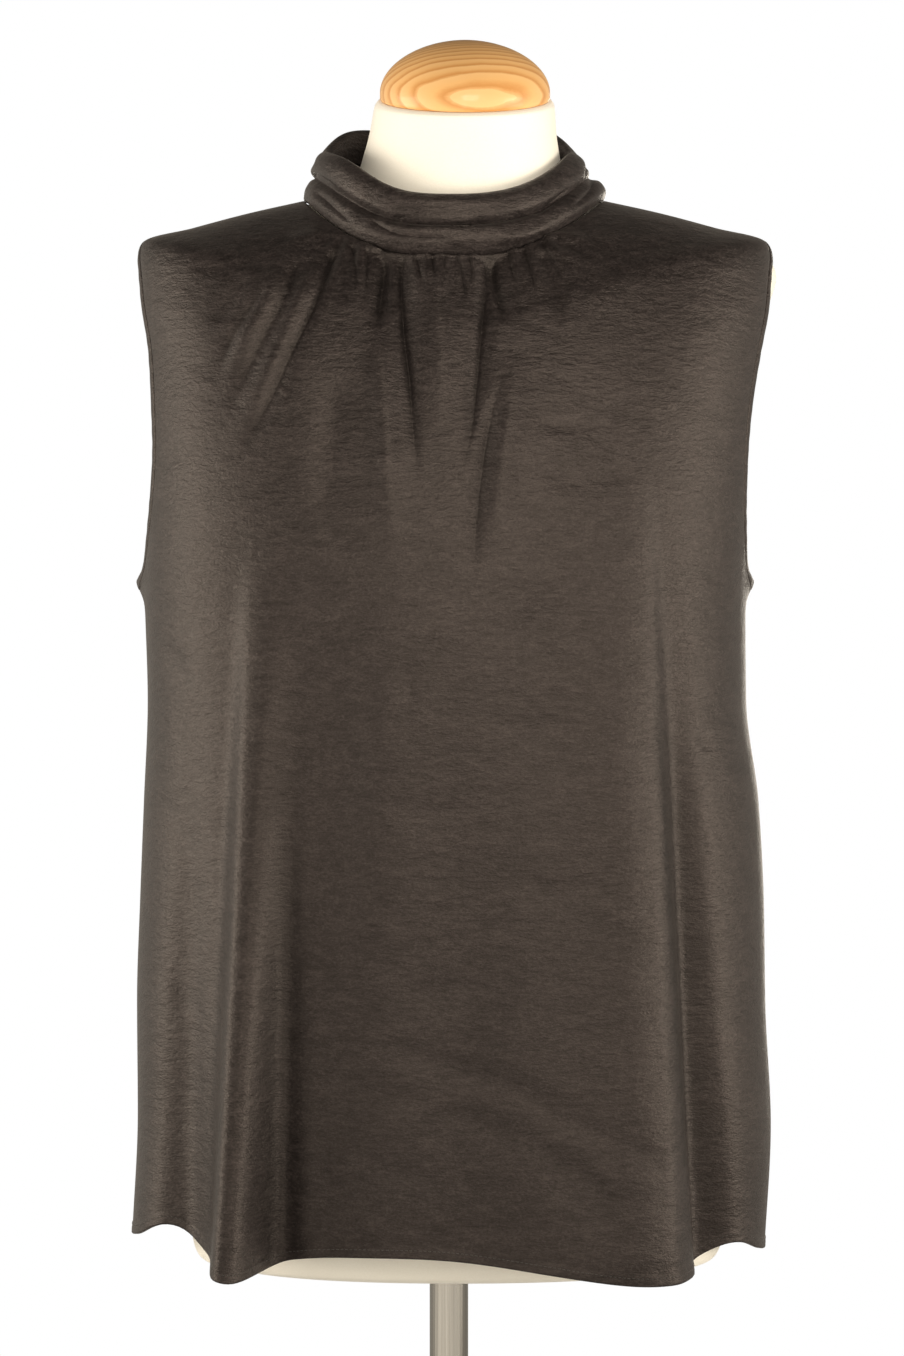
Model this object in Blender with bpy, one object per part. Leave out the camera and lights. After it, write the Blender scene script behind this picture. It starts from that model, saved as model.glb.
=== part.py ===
"""A sleeveless high-neck blouse on a limbless dress form.

Metres, +Z up. The front faces -Y, and "left" and "right" are the viewer's, at -X and +X.
The origin is on the floor, on the axis of the stand's pole.

The blouse's front and back panels are read from one table of sections. Each section is a
closed ring round the body. Its height may differ at front, side and back, so the rings
climb from the hem over the chest and shoulders to the neckline. Between the underarm and
the shoulder tip the rings are open at the sides: that gap is the armhole.
"""

import math

import bpy
import numpy as np

# Cloth
WALL = 0.0016
SEAM_GAP = 0.0007
BINDING_GAP = 0.0010
BINDING_WIDTH = 0.0066
BINDING_WALL = 0.0024
COLLAR_WALL = 0.0022
COLLAR_OPENING_DEG = 0.45
SLIT_LENGTH = 0.100
SLIT_WIDTH = 0.0012

# Armhole: how far the edge leaves the side line, as the cosine of its angle on a ring
ARM_REACH_FRONT = 0.265
ARM_REACH_BACK = 0.215
ARM_SKEW = 0.80
ARM_ROUND = 0.60
ARM_EDGE_POWER = 3.0
ARM_WAY_STATIONS = 61
BINDING_FADE = 0.035
BINDING_EASE = 0.86

# Where a panel nears its side edge: the share of its half width at which the hanging
# folds start to fade, and at which the two panels start to part for the seam.
FOLDS_FADE = (0.80, 0.98)
SEAM_START = 0.94

# Where the binding's ends meet the side seam, the cloth stands out in a small nub.
UNDERARM_NUB = 0.0055
NUB_RUN = 0.010
NUB_TURN = 0.10

# The hem hangs a little lower on the right: metres of drop for each metre sideways.
HEM_TILT = -0.022
HEM_TILT_RUN = 0.30

# Neck buttons
BUTTON_RADIUS = 0.0050
BUTTON_THICK = 0.0034
BUTTON_ROWS = (1.0, 4.5)
BUTTON_CLEAR = 0.0004
BUTTON_TURN_DEG = 6.0
BUTTON_SEAT_STEP = 0.3

# Stand
POLE_RADIUS = 0.0125
BASE_RADIUS = 0.170
BASE_THICK = 0.008
BASE_EDGE = 0.003
HUB_RADIUS = 0.026
HUB_TOP_RADIUS = 0.019
HUB_HEIGHT = 0.034
METAL_GAP = 0.0003
METAL_EDGE = 0.0015

# Neck cap
CAP_RADIUS = 0.0550
CAP_HEIGHT = 0.0383
CAP_WALL_HEIGHT = 0.0050
CAP_ROUND = 1.92
CAP_GAP = 0.0004

# Rings of the blouse, hem to neckline. run: length of cloth up from the hem.
# rise: how late the ring climbs from its front or back height to its side height.
BLOUSE_COLUMNS = (
    "run", "left", "right", "front", "back", "z_front", "z_side", "z_back", "square", "rise",
)
BLOUSE_RINGS = (
    (0.000, 0.2045, 0.2040, 0.127, 0.142, 0.7675, 0.7675, 0.7650, 2.35, 2.0),
    (0.077, 0.2010, 0.2080, 0.128, 0.139, 0.8450, 0.8450, 0.8430, 2.35, 2.0),
    (0.152, 0.2015, 0.2045, 0.128, 0.135, 0.9200, 0.9200, 0.9190, 2.35, 2.0),
    (0.217, 0.1995, 0.2035, 0.129, 0.130, 0.9850, 0.9850, 0.9850, 2.35, 2.0),
    (0.282, 0.1970, 0.2000, 0.131, 0.124, 1.0500, 1.0500, 1.0500, 2.35, 2.0),
    (0.347, 0.1945, 0.1920, 0.134, 0.117, 1.1150, 1.1150, 1.1150, 2.35, 2.0),
    (0.400, 0.1960, 0.1915, 0.136, 0.1135, 1.1650, 1.1680, 1.1700, 2.35, 2.0),
    (0.425, 0.1970, 0.1922, 0.136, 0.1125, 1.1880, 1.1930, 1.1970, 2.36, 2.0),
    (0.461, 0.1968, 0.1945, 0.135, 0.112, 1.2170, 1.2290, 1.2290, 2.40, 2.1),
    (0.499, 0.1965, 0.1980, 0.132, 0.112, 1.2430, 1.2670, 1.2600, 2.45, 2.2),
    (0.539, 0.1980, 0.2025, 0.128, 0.111, 1.2700, 1.3070, 1.2940, 2.45, 2.3),
    (0.573, 0.1985, 0.2070, 0.123, 0.109, 1.2940, 1.3410, 1.3220, 2.45, 2.5),
    (0.605, 0.2015, 0.2105, 0.1175, 0.106, 1.3170, 1.3730, 1.3490, 2.40, 2.7),
    (0.629, 0.2020, 0.2105, 0.1125, 0.102, 1.3350, 1.3970, 1.3690, 2.30, 2.9),
    (0.650, 0.1985, 0.2060, 0.1080, 0.098, 1.3480, 1.4110, 1.3850, 2.25, 3.0),
    (0.690, 0.1660, 0.1730, 0.1020, 0.090, 1.3630, 1.4205, 1.4055, 2.20, 3.0),
    (0.727, 0.1300, 0.1370, 0.0955, 0.084, 1.3790, 1.4303, 1.4290, 2.15, 3.0),
    (0.765, 0.0945, 0.1010, 0.0880, 0.078, 1.3955, 1.4385, 1.4520, 2.10, 3.0),
)
RUN_UNDERARM = 0.425
RUN_TIP = 0.650
RUN_NECK = 0.765

# Gathers below the collar: each is a soft valley from the neckline down the front.
GATHER_COLUMNS = ("x_top", "z_top", "x_low", "z_low", "width", "depth")
GATHERS = (
    (-0.0769, 1.4063, -0.1022, 1.3602, 0.0036, 0.0022),
    (-0.0694, 1.4032, -0.0990, 1.3300, 0.0040, 0.0030),
    (-0.0600, 1.4000, -0.0767, 1.3454, 0.0034, 0.0026),
    (-0.0500, 1.3969, -0.0500, 1.3590, 0.0032, 0.0022),
    (-0.0412, 1.3956, -0.0426, 1.3300, 0.0042, 0.0040),
    (-0.0345, 1.3950, -0.0315, 1.3516, 0.0030, 0.0022),
    (-0.0262, 1.3944, -0.0209, 1.2750, 0.0044, 0.0040),
    (-0.0180, 1.3938, -0.0147, 1.3650, 0.0030, 0.0024),
    (-0.0095, 1.3938, -0.0079, 1.3600, 0.0032, 0.0024),
    (0.0022, 1.3938, 0.0039, 1.3520, 0.0036, 0.0028),
    (0.0112, 1.3944, 0.0107, 1.3600, 0.0032, 0.0024),
    (0.0190, 1.3950, 0.0194, 1.3454, 0.0030, 0.0022),
    (0.0262, 1.3956, 0.0144, 1.2650, 0.0044, 0.0042),
    (0.0352, 1.3969, 0.0367, 1.3640, 0.0034, 0.0024),
    (0.0450, 1.3981, 0.0500, 1.3600, 0.0034, 0.0026),
    (0.0570, 1.4013, 0.0690, 1.3620, 0.0036, 0.0026),
    (0.0680, 1.4050, 0.0860, 1.3820, 0.0034, 0.0018),
)

# Folds that hang from the bust or the shoulder blades and open towards the hem.
# depth: forward of the panel at the hem, or behind it where negative. lean: the part of
# that depth by which the fold also tips sideways. The front hem also drops and lifts.
HEM_FOLD_COLUMNS = ("x_top", "x_hem", "z_top", "width", "depth", "lean")
FRONT_FOLDS = (
    (-0.120, -0.1290, 1.21, 0.0200, 0.0420, -0.10),
    (-0.094, -0.0990, 1.13, 0.0105, -0.0230, 0.00),
    (-0.158, -0.1650, 1.08, 0.0150, -0.0140, 0.00),
    (0.132, 0.1420, 1.25, 0.0240, 0.0330, 0.30),
    (0.152, 0.1690, 1.16, 0.0110, -0.0340, 0.25),
    (0.055, 0.0640, 1.10, 0.0380, 0.0130, 0.00),
)
BACK_FOLDS = (
    (-0.112, -0.1250, 1.22, 0.0220, 0.0230, -0.20),
    (-0.078, -0.0820, 1.16, 0.0170, -0.0160, 0.00),
    (-0.030, -0.0350, 1.18, 0.0230, 0.0150, 0.00),
    (0.012, 0.0140, 1.12, 0.0180, -0.0120, 0.00),
    (0.055, 0.0580, 1.20, 0.0230, 0.0190, 0.00),
    (0.094, 0.1000, 1.14, 0.0160, -0.0150, 0.00),
    (0.128, 0.1430, 1.20, 0.0200, 0.0200, 0.20),
)
LEVEL_COLUMNS = ("x", "width", "drop")
FRONT_HEM_LEVELS = (
    (-0.1790, 0.018, -0.0130),
    (-0.1320, 0.021, 0.0115),
    (-0.0250, 0.060, -0.0035),
    (0.1200, 0.055, 0.0095),
    (0.1800, 0.018, -0.0125),
)
HEM_LEVEL_RISE = 0.16
FOLD_GROWTH = 1.35
FOLD_TOP_WIDTH = 0.70

# Rings of the collar: up its outside over two soft rolls, then down its inside.
RING_COLUMNS = (
    "centre_x", "centre_y", "left", "right", "front", "back", "z_front", "z_side", "z_back",
)
COLLAR_RINGS = (
    (0.0, 0.0, 0.0936, 0.1000, 0.0872, 0.0772, 1.3970, 1.4402, 1.4537),
    (0.0, 0.0, 0.0930, 0.1012, 0.0915, 0.0795, 1.4050, 1.4450, 1.4625),
    (0.0, 0.0, 0.0898, 0.0975, 0.0905, 0.0785, 1.4110, 1.4510, 1.4680),
    (0.0, 0.0, 0.0862, 0.0900, 0.0850, 0.0755, 1.4135, 1.4540, 1.4715),
    (0.0, 0.0, 0.0892, 0.0905, 0.0895, 0.0785, 1.4200, 1.4585, 1.4785),
    (0.0, 0.0, 0.0870, 0.0870, 0.0890, 0.0765, 1.4275, 1.4650, 1.4880),
    (0.0, 0.0, 0.0810, 0.0800, 0.0845, 0.0720, 1.4325, 1.4700, 1.4935),
    (0.0, 0.0, 0.0770, 0.0775, 0.0805, 0.0690, 1.4300, 1.4675, 1.4905),
    (0.0, 0.0, 0.0765, 0.0775, 0.0795, 0.0690, 1.4230, 1.4615, 1.4820),
    (0.0, 0.0, 0.0780, 0.0785, 0.0795, 0.0700, 1.4140, 1.4560, 1.4710),
)
COLLAR_SQUARE = 2.1
COLLAR_TOP_ROW = 6
COLLAR_RISE_SEAM = 3.0
COLLAR_RISE_FRONT = 2.6
COLLAR_RISE_BACK = 11.0
COLLAR_LIFT_DEG = -48.0
COLLAR_LIFT_WIDTH_DEG = 20.0
COLLAR_LIFT = 0.0065
COLLAR_COLUMNS = 52

# Rings of the dress form, from its underside to the top of its neck.
FORM_COLUMNS_NAMES = RING_COLUMNS + ("rise",)
FORM_RINGS = (
    (0.0055, 0.000, 0.1480, 0.1480, 0.086, 0.093, 0.7500, 0.7500, 0.7500, 3),
    (0.0055, 0.000, 0.1660, 0.1660, 0.103, 0.110, 0.7550, 0.7550, 0.7550, 3),
    (0.0055, 0.000, 0.1720, 0.1720, 0.108, 0.116, 0.7690, 0.7690, 0.7690, 3),
    (0.0055, 0.000, 0.1745, 0.1745, 0.106, 0.124, 0.8500, 0.8500, 0.8500, 3),
    (0.0055, 0.000, 0.1640, 0.1640, 0.100, 0.116, 0.9300, 0.9300, 0.9300, 3),
    (0.0055, 0.000, 0.1400, 0.1400, 0.091, 0.096, 1.0100, 1.0100, 1.0100, 3),
    (0.0055, 0.000, 0.1360, 0.1360, 0.094, 0.091, 1.0700, 1.0700, 1.0700, 3),
    (0.0058, 0.000, 0.1440, 0.1440, 0.110, 0.095, 1.1250, 1.1250, 1.1250, 3),
    (0.0060, 0.000, 0.1530, 0.1530, 0.1265, 0.100, 1.1800, 1.1850, 1.1850, 3),
    (0.0062, 0.000, 0.1620, 0.1620, 0.1230, 0.105, 1.2250, 1.2400, 1.2400, 3),
    (0.0064, 0.000, 0.1740, 0.1740, 0.1150, 0.1045, 1.2680, 1.3000, 1.2900, 3),
    (0.0065, 0.000, 0.1900, 0.1900, 0.1060, 0.1010, 1.3050, 1.3500, 1.3350, 3),
    (0.0065, 0.000, 0.2020, 0.2020, 0.0990, 0.0940, 1.3280, 1.3740, 1.3560, 3),
    (0.0065, 0.000, 0.2060, 0.2060, 0.0950, 0.0900, 1.3390, 1.3890, 1.3700, 3),
    (0.0065, 0.000, 0.2030, 0.2030, 0.0925, 0.0870, 1.3465, 1.3990, 1.3800, 3),
    (0.0065, 0.000, 0.1930, 0.1930, 0.0905, 0.0860, 1.3525, 1.4080, 1.3900, 3),
    (0.0060, 0.000, 0.1700, 0.1700, 0.0885, 0.0850, 1.3610, 1.4160, 1.4010, 3),
    (0.0055, 0.000, 0.1340, 0.1340, 0.0845, 0.0795, 1.3720, 1.4258, 1.4205, 3),
    (0.0060, 0.000, 0.1010, 0.1010, 0.0780, 0.0725, 1.3850, 1.4350, 1.4385, 3),
    (0.0066, -0.001, 0.0785, 0.0785, 0.0700, 0.0680, 1.3980, 1.4420, 1.4500, 2),
    (0.0070, -0.004, 0.0685, 0.0685, 0.0640, 0.0650, 1.4150, 1.4500, 1.4620, 1.5),
    (0.0080, -0.007, 0.0645, 0.0645, 0.0625, 0.0620, 1.4370, 1.4640, 1.4790, 0),
    (0.0091, -0.010, 0.0605, 0.0605, 0.0595, 0.0595, 1.4620, 1.4820, 1.4990, 0),
    (0.0102, -0.012, 0.0580, 0.0580, 0.0575, 0.0575, 1.4830, 1.5000, 1.5170, 0),
    (0.0104, -0.012, 0.0560, 0.0560, 0.0555, 0.0555, 1.4860, 1.5028, 1.5196, 0),
)
FORM_SQUARE = 2.15
FORM_COLUMNS = 44

# Grids
BODY_COLUMNS = 44
BODY_CROWDED = (0.56, 0.17, 2.2)
GATHER_GRID_COLUMNS = 70
GATHER_CROWDED = (-0.84, 0.72, 0.12, 2.6)
BACK_COLUMNS = 28
LOW_RUNS = (0.0, 0.040, 0.085, 0.130, 0.180, 0.230, 0.280, 0.330, 0.375, 0.405)
ARM_STEPS = (0.0, 0.010, 0.045, 0.11, 0.21, 0.34, 0.48, 0.62, 0.75, 0.86, 0.94, 0.985, 1.0)
YOKE_RUNS = (0.672, 0.695, 0.716, 0.734, 0.749, 0.759, RUN_NECK)
GATHERS_START_RUN = 0.560
SLOPE_STEP = 0.002
SLOPE_ANGLE = 0.004
CAP_SIDES = 30
CAP_STEPS = 8
BASE_SIDES = 56
POLE_SIDES = 32
BUTTON_SIDES = 16


def read_columns(names, rows):
    """The table's columns, by name."""
    return dict(zip(names, np.array(rows, float).T))


BLOUSE = read_columns(BLOUSE_COLUMNS, BLOUSE_RINGS)


def soft_step(value):
    value = np.clip(value, 0.0, 1.0)
    return value * value * (3.0 - 2.0 * value)


def smooth_between(stations, values, at):
    """Monotone cubic through the table's values, so that no section overshoots."""
    gaps = np.diff(stations)
    slopes = np.diff(values) / gaps
    tangents = np.zeros_like(values)
    before, after = slopes[:-1], slopes[1:]
    same_way = before * after > 0
    mean = 2.0 * before * after / np.where(same_way, before + after, 1.0)
    tangents[1:-1] = np.where(same_way, mean, 0.0)
    tangents[0], tangents[-1] = slopes[0], slopes[-1]
    at = np.clip(at, stations[0], stations[-1])
    i = np.clip(np.searchsorted(stations, at, side="right") - 1, 0, len(gaps) - 1)
    u = (at - stations[i]) / gaps[i]
    return (
        values[i] * (1 + 2 * u) * (1 - u) ** 2
        + values[i + 1] * u * u * (3 - 2 * u)
        + gaps[i] * tangents[i] * u * (1 - u) ** 2
        - gaps[i] * tangents[i + 1] * u * u * (1 - u)
    )


def ring_point(angle, left, right, front, back, z_front, z_side, z_back, square, rise):
    """A point on a ring. angle: 0 at centre front, +90 degrees at the right side.

    A rise of 0 makes each half of the ring flat, tilted from its end to its sides.
    """
    sine, cosine = np.sin(angle), np.cos(angle)
    half = np.where(sine < 0, left, right)
    depth = np.where(cosine > 0, front, back)
    reach = (np.abs(sine / half) ** square + np.abs(cosine / depth) ** square) ** (-1.0 / square)
    end = np.where(cosine > 0, z_front, z_back)
    level = 1.0 - np.abs(cosine) * reach / depth
    share = np.where(rise > 0, np.abs(sine) ** rise, level)
    height = end + (z_side - end) * share
    return np.stack([reach * sine, -reach * cosine, height], axis=-1)


# ---------------------------------------------------------------- the blouse's panels


def edge_angle(face, run):
    """Where a panel ends on a ring: the side line, or the armhole's edge."""
    q = np.clip((run - RUN_UNDERARM) / (RUN_TIP - RUN_UNDERARM), 0.0, 1.0)
    reach = ARM_REACH_FRONT if face < 0 else ARM_REACH_BACK
    arch = np.sin(math.pi * q**ARM_SKEW)
    return np.arccos(reach * np.clip(arch, 0.0, 1.0) ** ARM_ROUND)


def panel_angle(face, t, run):
    """The angle at t, from -1 to 1 across the panel. Only its outer part gives way."""
    given_up = 0.5 * math.pi - edge_angle(face, run)
    return 0.5 * math.pi * t - given_up * np.sign(t) * np.abs(t) ** ARM_EDGE_POWER


def ring_surface(face, angle, run):
    """The panel with no folds. face: -1 front, +1 back. angle: from its centre line."""
    ring = {name: smooth_between(BLOUSE["run"], BLOUSE[name], run) for name in BLOUSE_COLUMNS[1:]}
    point = ring_point(angle if face < 0 else np.pi - angle, **ring)
    nub = UNDERARM_NUB * np.exp(-(((run - RUN_UNDERARM) / NUB_RUN) ** 2))
    point[..., 0] += np.sign(angle) * nub * np.exp(-((np.cos(angle) / NUB_TURN) ** 2))
    tilt_fade = 1.0 - soft_step(run / HEM_TILT_RUN)
    point[..., 2] += HEM_TILT * point[..., 0] * tilt_fade
    return point


def unit(vector):
    return vector / np.maximum(np.linalg.norm(vector, axis=-1, keepdims=True), 1e-12)


def surface_slopes(face, angle, run):
    """How the point moves with the angle and with the run."""
    run = np.clip(run, SLOPE_STEP, RUN_NECK - SLOPE_STEP)
    turned_on = ring_surface(face, angle + SLOPE_ANGLE, run)
    turned_back = ring_surface(face, angle - SLOPE_ANGLE, run)
    above = ring_surface(face, angle, run + SLOPE_STEP)
    below = ring_surface(face, angle, run - SLOPE_STEP)
    turn = (turned_on - turned_back) / (2.0 * SLOPE_ANGLE)
    return turn, (above - below) / (2.0 * SLOPE_STEP)


def outward(face, angle, run):
    turn, climb = surface_slopes(face, angle, run)
    return unit(np.cross(turn, climb)) * -face


def arm_run(q):
    return RUN_UNDERARM + q * (RUN_TIP - RUN_UNDERARM)


def armhole_steps(side, steps):
    """At each step q up the armhole, front then back: the way into the cloth.

    It is given for a width of one metre, as a change of angle and a change of run.
    """
    faces = np.concatenate([np.full(len(steps) - 1, -1), np.full(len(steps) - 1, 1)])
    q = np.concatenate([steps[:-1], steps[::-1][:-1]])
    edge = np.array([
        ring_surface(face, side * edge_angle(face, arm_run(at)), arm_run(at))
        for face, at in zip(faces, q)
    ])
    along = unit(np.roll(edge, -1, axis=0) - np.roll(edge, 1, axis=0))
    ways = {-1: [], 1: []}
    for i, (face, at) in enumerate(zip(faces, q)):
        turn, climb = surface_slopes(face, side * edge_angle(face, arm_run(at)), arm_run(at))
        normal = unit(np.cross(turn, climb)) * -face
        if at in (0.0, 1.0):
            normal = unit(normal * (1, 0, 1))
        inward = unit(np.cross(along[i], normal)) * -side
        both = np.stack([turn, climb], axis=1)
        change = np.linalg.lstsq(both, inward, rcond=None)[0]
        ways[face].append((at, *change))
        if at in (0.0, 1.0):
            change = (0.0, change[1])
            ways[face][-1] = (at, *change)
            ways[-face].append((at, *change))
    return {face: np.array(sorted(rows)) for face, rows in ways.items()}


def binding_way(face, side, run):
    """The way from the armhole's edge into the cloth, fading out on the seams beyond."""
    rows = ARM_WAYS[side][face]
    q = np.clip((run - RUN_UNDERARM) / (RUN_TIP - RUN_UNDERARM), 0.0, 1.0)
    beyond = np.maximum(RUN_UNDERARM - run, run - RUN_TIP)
    fade = 1.0 - soft_step(beyond / BINDING_FADE)
    return np.interp(q, rows[:, 0], rows[:, 1]) * fade, np.interp(q, rows[:, 0], rows[:, 2]) * fade


ARM_STATIONS = 0.5 - 0.5 * np.cos(np.linspace(0.0, math.pi, ARM_WAY_STATIONS))
ARM_WAYS = {side: armhole_steps(side, ARM_STATIONS) for side in (-1, 1)}


def gather_depth(points):
    """How deep the gathers press into the front at these points."""
    total = np.zeros(points.shape[:-1])
    for row in GATHERS:
        g = dict(zip(GATHER_COLUMNS, row))
        run_x, run_z = g["x_low"] - g["x_top"], g["z_low"] - g["z_top"]
        length = math.hypot(run_x, run_z)
        off_x, off_z = points[..., 0] - g["x_top"], points[..., 2] - g["z_top"]
        along = (off_x * run_x + off_z * run_z) / length**2
        across = (off_x * run_z - off_z * run_x) / length
        fade = np.clip(1.0 - along, 0.0, 1.0) ** 1.2 * soft_step(along * 8.0 + 1.0)
        width = g["width"] * (1.0 + 0.8 * np.clip(along, 0.0, 1.0))
        total += g["depth"] * fade * np.exp(-((across / width) ** 2))
    return total


def hem_fold_shift(face, points):
    """Sideways and forward movement of the folds that open towards the hem."""
    moved = np.zeros(points.shape)
    hem_z = BLOUSE["z_side"][0]
    for row in FRONT_FOLDS if face < 0 else BACK_FOLDS:
        f = dict(zip(HEM_FOLD_COLUMNS, row))
        down = np.clip((f["z_top"] - points[..., 2]) / (f["z_top"] - hem_z), 0.0, 1.0)
        middle = f["x_top"] + (f["x_hem"] - f["x_top"]) * down
        width = f["width"] * (FOLD_TOP_WIDTH + (1 - FOLD_TOP_WIDTH) * down)
        bell = np.exp(-(((points[..., 0] - middle) / width) ** 2))
        amount = f["depth"] * down**FOLD_GROWTH * bell
        moved[..., 0] += amount * f["lean"]
        moved[..., 1] += amount * face
    if face < 0:
        near_hem = 1.0 - soft_step((points[..., 2] - hem_z) / HEM_LEVEL_RISE)
        for row in FRONT_HEM_LEVELS:
            level = dict(zip(LEVEL_COLUMNS, row))
            bell = np.exp(-(((points[..., 0] - level["x"]) / level["width"]) ** 2))
            moved[..., 2] -= level["drop"] * near_hem * bell
    return moved


def panel_point(face, t, run):
    """A point of the front or back panel, halfway through its cloth.

    t: -1 at the panel's left edge, +1 at its right edge.
    """
    t, run = np.broadcast_arrays(np.asarray(t, float), np.asarray(run, float))
    angle = panel_angle(face, t, run)
    weight = soft_step((np.abs(t) - BINDING_EASE) / (1.0 - BINDING_EASE))
    weight = weight * (BINDING_WIDTH + BINDING_GAP)
    left, right = binding_way(face, -1, run), binding_way(face, 1, run)
    angle = angle + weight * np.where(t < 0, left[0], right[0])
    run = run + weight * np.where(t < 0, left[1], right[1])
    points = ring_surface(face, angle, run)
    fade_start, fade_end = FOLDS_FADE
    free = (1.0 - soft_step((np.abs(t) - fade_start) / (fade_end - fade_start)))[..., None]
    moved = points + hem_fold_shift(face, points) * free
    if face < 0:
        moved -= outward(face, angle, run) * gather_depth(points)[..., None]
    seam = soft_step((np.abs(t) - SEAM_START) / (1.0 - SEAM_START))
    moved[..., 1] += face * 0.5 * SEAM_GAP * seam
    return moved


# ---------------------------------------------------------------- meshes


def new_object(name, points, faces, material, smooth=True):
    mesh = bpy.data.meshes.new(name)
    mesh.from_pydata([tuple(p) for p in points], [], faces)
    mesh.validate()
    if smooth:
        mesh.shade_smooth()
        mesh.set_sharp_from_angle(angle=math.radians(40))
    mesh.materials.append(material)
    obj = bpy.data.objects.new(name, mesh)
    bpy.context.scene.collection.objects.link(obj)
    return obj


def thicken(obj, wall):
    """Gives a sheet its wall, half to each side."""
    solidify = obj.modifiers.new("wall", "SOLIDIFY")
    solidify.thickness = wall
    solidify.offset = 0.0
    solidify.use_even_offset = False
    solidify.thickness_clamp = 0.9
    return obj


def join_rows(lower, upper):
    """Triangles between two rows of (position, index), which may differ in number."""
    faces = []
    i = j = 0
    while i < len(lower) - 1 or j < len(upper) - 1:
        can_lower = i < len(lower) - 1
        can_upper = j < len(upper) - 1
        if can_lower and can_upper:
            step_lower = lower[i + 1][0] <= upper[j + 1][0]
        else:
            step_lower = can_lower
        if step_lower:
            faces.append((lower[i][1], lower[i + 1][1], upper[j][1]))
            i += 1
        else:
            faces.append((lower[i][1], upper[j + 1][1], upper[j][1]))
            j += 1
    return faces


def join_rings(count, ring_a, ring_b):
    """Quads between two closed rings that start at these indices."""
    return [
        (ring_a + k, ring_a + (k + 1) % count, ring_b + (k + 1) % count, ring_b + k)
        for k in range(count)
    ]


def spread(density, count):
    """Positions from -1 to 1, closer together where the density is high."""
    fine = np.linspace(-1.0, 1.0, 801)
    total = np.concatenate([[0.0], np.cumsum(0.5 * (density(fine[1:]) + density(fine[:-1])))])
    return np.interp(np.linspace(0.0, total[-1], count), total, fine)


def body_density(t):
    """Closer together where the hanging folds turn."""
    middle, width, more = BODY_CROWDED
    return 1.0 + more * np.exp(-(((np.abs(t) - middle) / width) ** 2))


def gather_density(t):
    """Closer together across the gathers."""
    start, end, ease, more = GATHER_CROWDED
    return 1.0 + more * soft_step((t - start) / ease) * soft_step((end - t) / ease)


def front_columns(run):
    if run < GATHERS_START_RUN:
        return spread(body_density, BODY_COLUMNS)
    return spread(gather_density, GATHER_GRID_COLUMNS)


def panel_runs():
    arm = [RUN_UNDERARM + q * (RUN_TIP - RUN_UNDERARM) for q in ARM_STEPS]
    return list(LOW_RUNS) + arm + list(YOKE_RUNS)


def build_front(material):
    points, faces, before = [], [], None
    for run in panel_runs():
        columns = front_columns(run)
        row = panel_point(-1, columns, run)
        here = [(t, len(points) + k) for k, t in enumerate(columns)]
        points.extend(row)
        if before:
            faces.extend(join_rows(before, here))
        before = here
    return thicken(new_object("blouse_front", points, faces, material), WALL)


def build_back(material):
    """The back panel, with a slit at its centre that starts at the neckline."""
    slit_foot = RUN_NECK - SLIT_LENGTH
    half_columns = np.linspace(0.0, 1.0, BACK_COLUMNS // 2 + 1)
    columns = np.concatenate([-half_columns[::-1], half_columns[1:]])
    points, faces, before = [], [], None
    runs = [run for run in panel_runs() if abs(run - slit_foot) > 0.006] + [slit_foot]
    for run in sorted(runs):
        row = panel_point(1, columns, run)
        here = [(-t, len(points) + k) for k, t in enumerate(columns)]
        points.extend(row)
        middle = len(columns) // 2
        halves = [here[::-1]]
        if run > slit_foot:
            points[here[middle][1]] = row[middle] - (0.5 * SLIT_WIDTH, 0.0, 0.0)
            twin = (0.0, len(points))
            points.append(row[middle] + (0.5 * SLIT_WIDTH, 0.0, 0.0))
            halves = [[twin] + here[middle + 1:], here[: middle + 1]]
            halves = [half[::-1] for half in halves]
        if before is None:
            before = halves
            continue
        if len(before) < len(halves):
            whole = before[0]
            cut = len(whole) // 2
            before = [whole[: cut + 1], whole[cut:]]
        for lower, upper in zip(before, halves):
            faces.extend(join_rows(lower, upper))
        before = halves
    return thicken(new_object("blouse_back", points, faces, material), WALL)


def build_binding(name, side, material):
    """A narrow strip round the armhole, from its edge to just clear of the panels."""
    edge, inner = [], []
    up = [(-1, q) for q in ARM_STEPS[:-1]]
    down = [(1, q) for q in ARM_STEPS[:0:-1]]
    for face, q in up + down:
        run = arm_run(q)
        angle = side * edge_angle(face, run)
        turn, climb = binding_way(face, side, run)
        edge.append(ring_surface(face, angle, run))
        inner.append(ring_surface(face, angle + BINDING_WIDTH * turn, run + BINDING_WIDTH * climb))
    faces = join_rings(len(edge), 0, len(edge))
    if side > 0:
        faces = [face[::-1] for face in faces]
    return thicken(new_object(name, edge + inner, faces, material), BINDING_WALL)


def collar_point(row, angle):
    """A point on the collar. row counts its rings, and may fall between two."""
    table = read_columns(RING_COLUMNS, COLLAR_RINGS)
    rows = np.arange(len(COLLAR_RINGS), dtype=float)
    ring = {name: smooth_between(rows, table[name], row) for name in RING_COLUMNS[2:]}
    top_rise = np.where(np.cos(angle) > 0, COLLAR_RISE_FRONT, COLLAR_RISE_BACK)
    rise = COLLAR_RISE_SEAM + (top_rise - COLLAR_RISE_SEAM) * soft_step(row / COLLAR_TOP_ROW)
    point = ring_point(angle, square=COLLAR_SQUARE, rise=rise, **ring)
    turn = (np.degrees(angle) - COLLAR_LIFT_DEG) / COLLAR_LIFT_WIDTH_DEG
    height = soft_step(row / COLLAR_TOP_ROW)
    point[..., 2] += COLLAR_LIFT * np.exp(-(turn**2)) * height
    return point


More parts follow.
